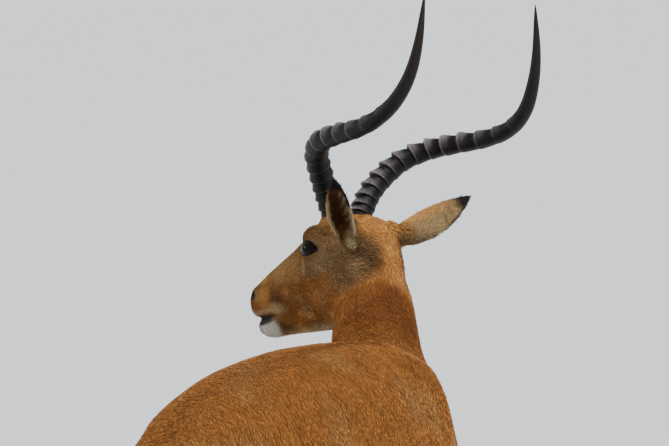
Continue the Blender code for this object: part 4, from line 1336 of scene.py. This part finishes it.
class IMPALA_OT_horns(bpy.types.Operator):
    """Build the two ridged horns on the line of their solids"""
    bl_idname = "impala.horns"
    bl_label = "Horns"

    def execute(self, context):
        keratin = horn_material(context.scene.impala_colours)
        for label, side in SIDES:
            horn = make_horn("ridged_horn_" + label, side, context.scene.impala_horns)
            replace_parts(shade(horn, keratin), "horn_" + label)
        return {"FINISHED"}


class IMPALA_OT_hooves(bpy.types.Operator):
    """Build the eight claws in place of their solids"""
    bl_idname = "impala.hooves"
    bl_label = "Hooves"

    def execute(self, context):
        keratin = hoof_material(context.scene.impala_colours)
        for name in HOOVES:
            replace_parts(shade(make_hoof(name), keratin), name)
        return {"FINISHED"}


class IMPALA_OT_stage(bpy.types.Operator):
    """Set the pale floor, the soft light and the camera"""
    bl_idname = "impala.stage"
    bl_label = "Stage"

    def execute(self, context):
        add_floor(context.scene.impala_colours)
        add_light(context.scene.impala_stage)
        add_camera(context.scene.impala_stage)
        return {"FINISHED"}


# the view's turn and drop in degrees and the head's place off its middle in metres; then
# the floor's half width, the soft sun's angle in degrees, the soft box's width, the camera's
# sensor in mm and the end of its view
VIEW_AZIMUTH = 26.0
VIEW_DROP = 6.0
VIEW_OFFSET = (0.07649, -0.07084)
FLOOR_REACH = 60.0
KEY_ANGLE = 48
FILL_SIZE = 1.3
SENSOR_WIDTH = 36.0
VIEW_END = 200.0


def add_floor(colours):
    """A wide pale floor under the hooves."""
    corners = FLOOR_REACH * np.array(((-1, -1, 0), (1, -1, 0), (1, 1, 0), (-1, 1, 0)))
    floor = new_mesh("floor", corners, np.array(((0, 1, 2, 3),)))
    mat, shader = new_material("painted_floor")
    wire(mat, shader, {"Base Color": (*colours.floor, 1.0), "Roughness": 0.9})
    floor.data.materials.append(mat)


def add_light(values):
    """Even light all round, a soft sun from above and a soft box beside the head."""
    world = bpy.data.worlds.new("studio")
    bpy.context.scene.world = world
    world.use_nodes = True
    sky = world.node_tree.nodes["Background"]
    sky.inputs["Color"].default_value = (*linear("eef2f6"), 1.0)
    sky.inputs["Strength"].default_value = values.sky
    key = bpy.data.lights.new("key", "SUN")
    key.angle = math.radians(KEY_ANGLE)
    key.energy = values.key
    fill = bpy.data.lights.new("fill", "AREA")
    fill.shape = "SQUARE"
    fill.size = FILL_SIZE
    fill.energy = values.fill
    # light and its place from the head, in metres
    for light, place in ((key, (-1.5, 0.35, 2.3)), (fill, (3.2, 1.6, 1.4))):
        obj = add_object(light.name, light)
        obj.location = HEAD_ORIGIN + Vector(place)
        obj.rotation_euler = (-Vector(place)).to_track_quat("-Z", "Y").to_euler()


def add_camera(values):
    """A long lens from behind the right hip, level with the horns and looking a little down."""
    turn = math.radians(VIEW_AZIMUTH)
    drop = math.radians(VIEW_DROP)
    ahead = Vector((math.sin(turn) * math.cos(drop), -math.cos(turn) * math.cos(drop), -math.sin(drop)))
    right = ahead.cross(Vector((0, 0, 1))).normalized()
    up = right.cross(ahead)
    camera = bpy.data.cameras.new("camera")
    camera.sensor_width = SENSOR_WIDTH
    camera.lens = values.focal
    camera.clip_end = VIEW_END
    obj = add_object("camera", camera)
    obj.rotation_euler = Matrix((right, up, -ahead)).transposed().to_euler()
    obj.location = HEAD_ORIGIN - ahead * values.distance - right * VIEW_OFFSET[0] - up * VIEW_OFFSET[1]
    bpy.context.scene.camera = obj


class IMPALA_PT_panel(bpy.types.Panel):
    """The impala's pieces in the order they are built"""
    bl_idname = "IMPALA_PT_panel"
    bl_label = "Impala Ram"
    bl_space_type = "VIEW_3D"
    bl_region_type = "UI"
    bl_category = "Impala"

    def draw(self, context):
        for operator in OPERATORS:
            self.layout.operator(operator.bl_idname)
        for group in GROUPS:
            box = self.layout.box()
            for name in group[1].__annotations__:
                box.prop(getattr(context.scene, group[0]), name)


OPERATORS = (IMPALA_OT_skin, IMPALA_OT_coat, IMPALA_OT_eyes, IMPALA_OT_horns,
             IMPALA_OT_hooves, IMPALA_OT_stage)
GROUPS = (("impala_colours", ImpalaColours), ("impala_skin", ImpalaSkin), ("impala_coat", ImpalaCoat),
          ("impala_horns", ImpalaHorns), ("impala_stage", ImpalaStage))


def register():
    for name, group in GROUPS:
        bpy.utils.register_class(group)
        setattr(bpy.types.Scene, name, PointerProperty(type=group))
    for operator in OPERATORS:
        bpy.utils.register_class(operator)
    bpy.utils.register_class(IMPALA_PT_panel)


def unregister():
    bpy.utils.unregister_class(IMPALA_PT_panel)
    for operator in reversed(OPERATORS):
        bpy.utils.unregister_class(operator)
    for name, group in reversed(GROUPS):
        delattr(bpy.types.Scene, name)
        bpy.utils.unregister_class(group)


def main():
    """Build every piece."""
    register()
    for operator in OPERATORS:
        getattr(bpy.ops.impala, operator.bl_idname.split(".")[1])()


if __name__ == "__main__":
    main()
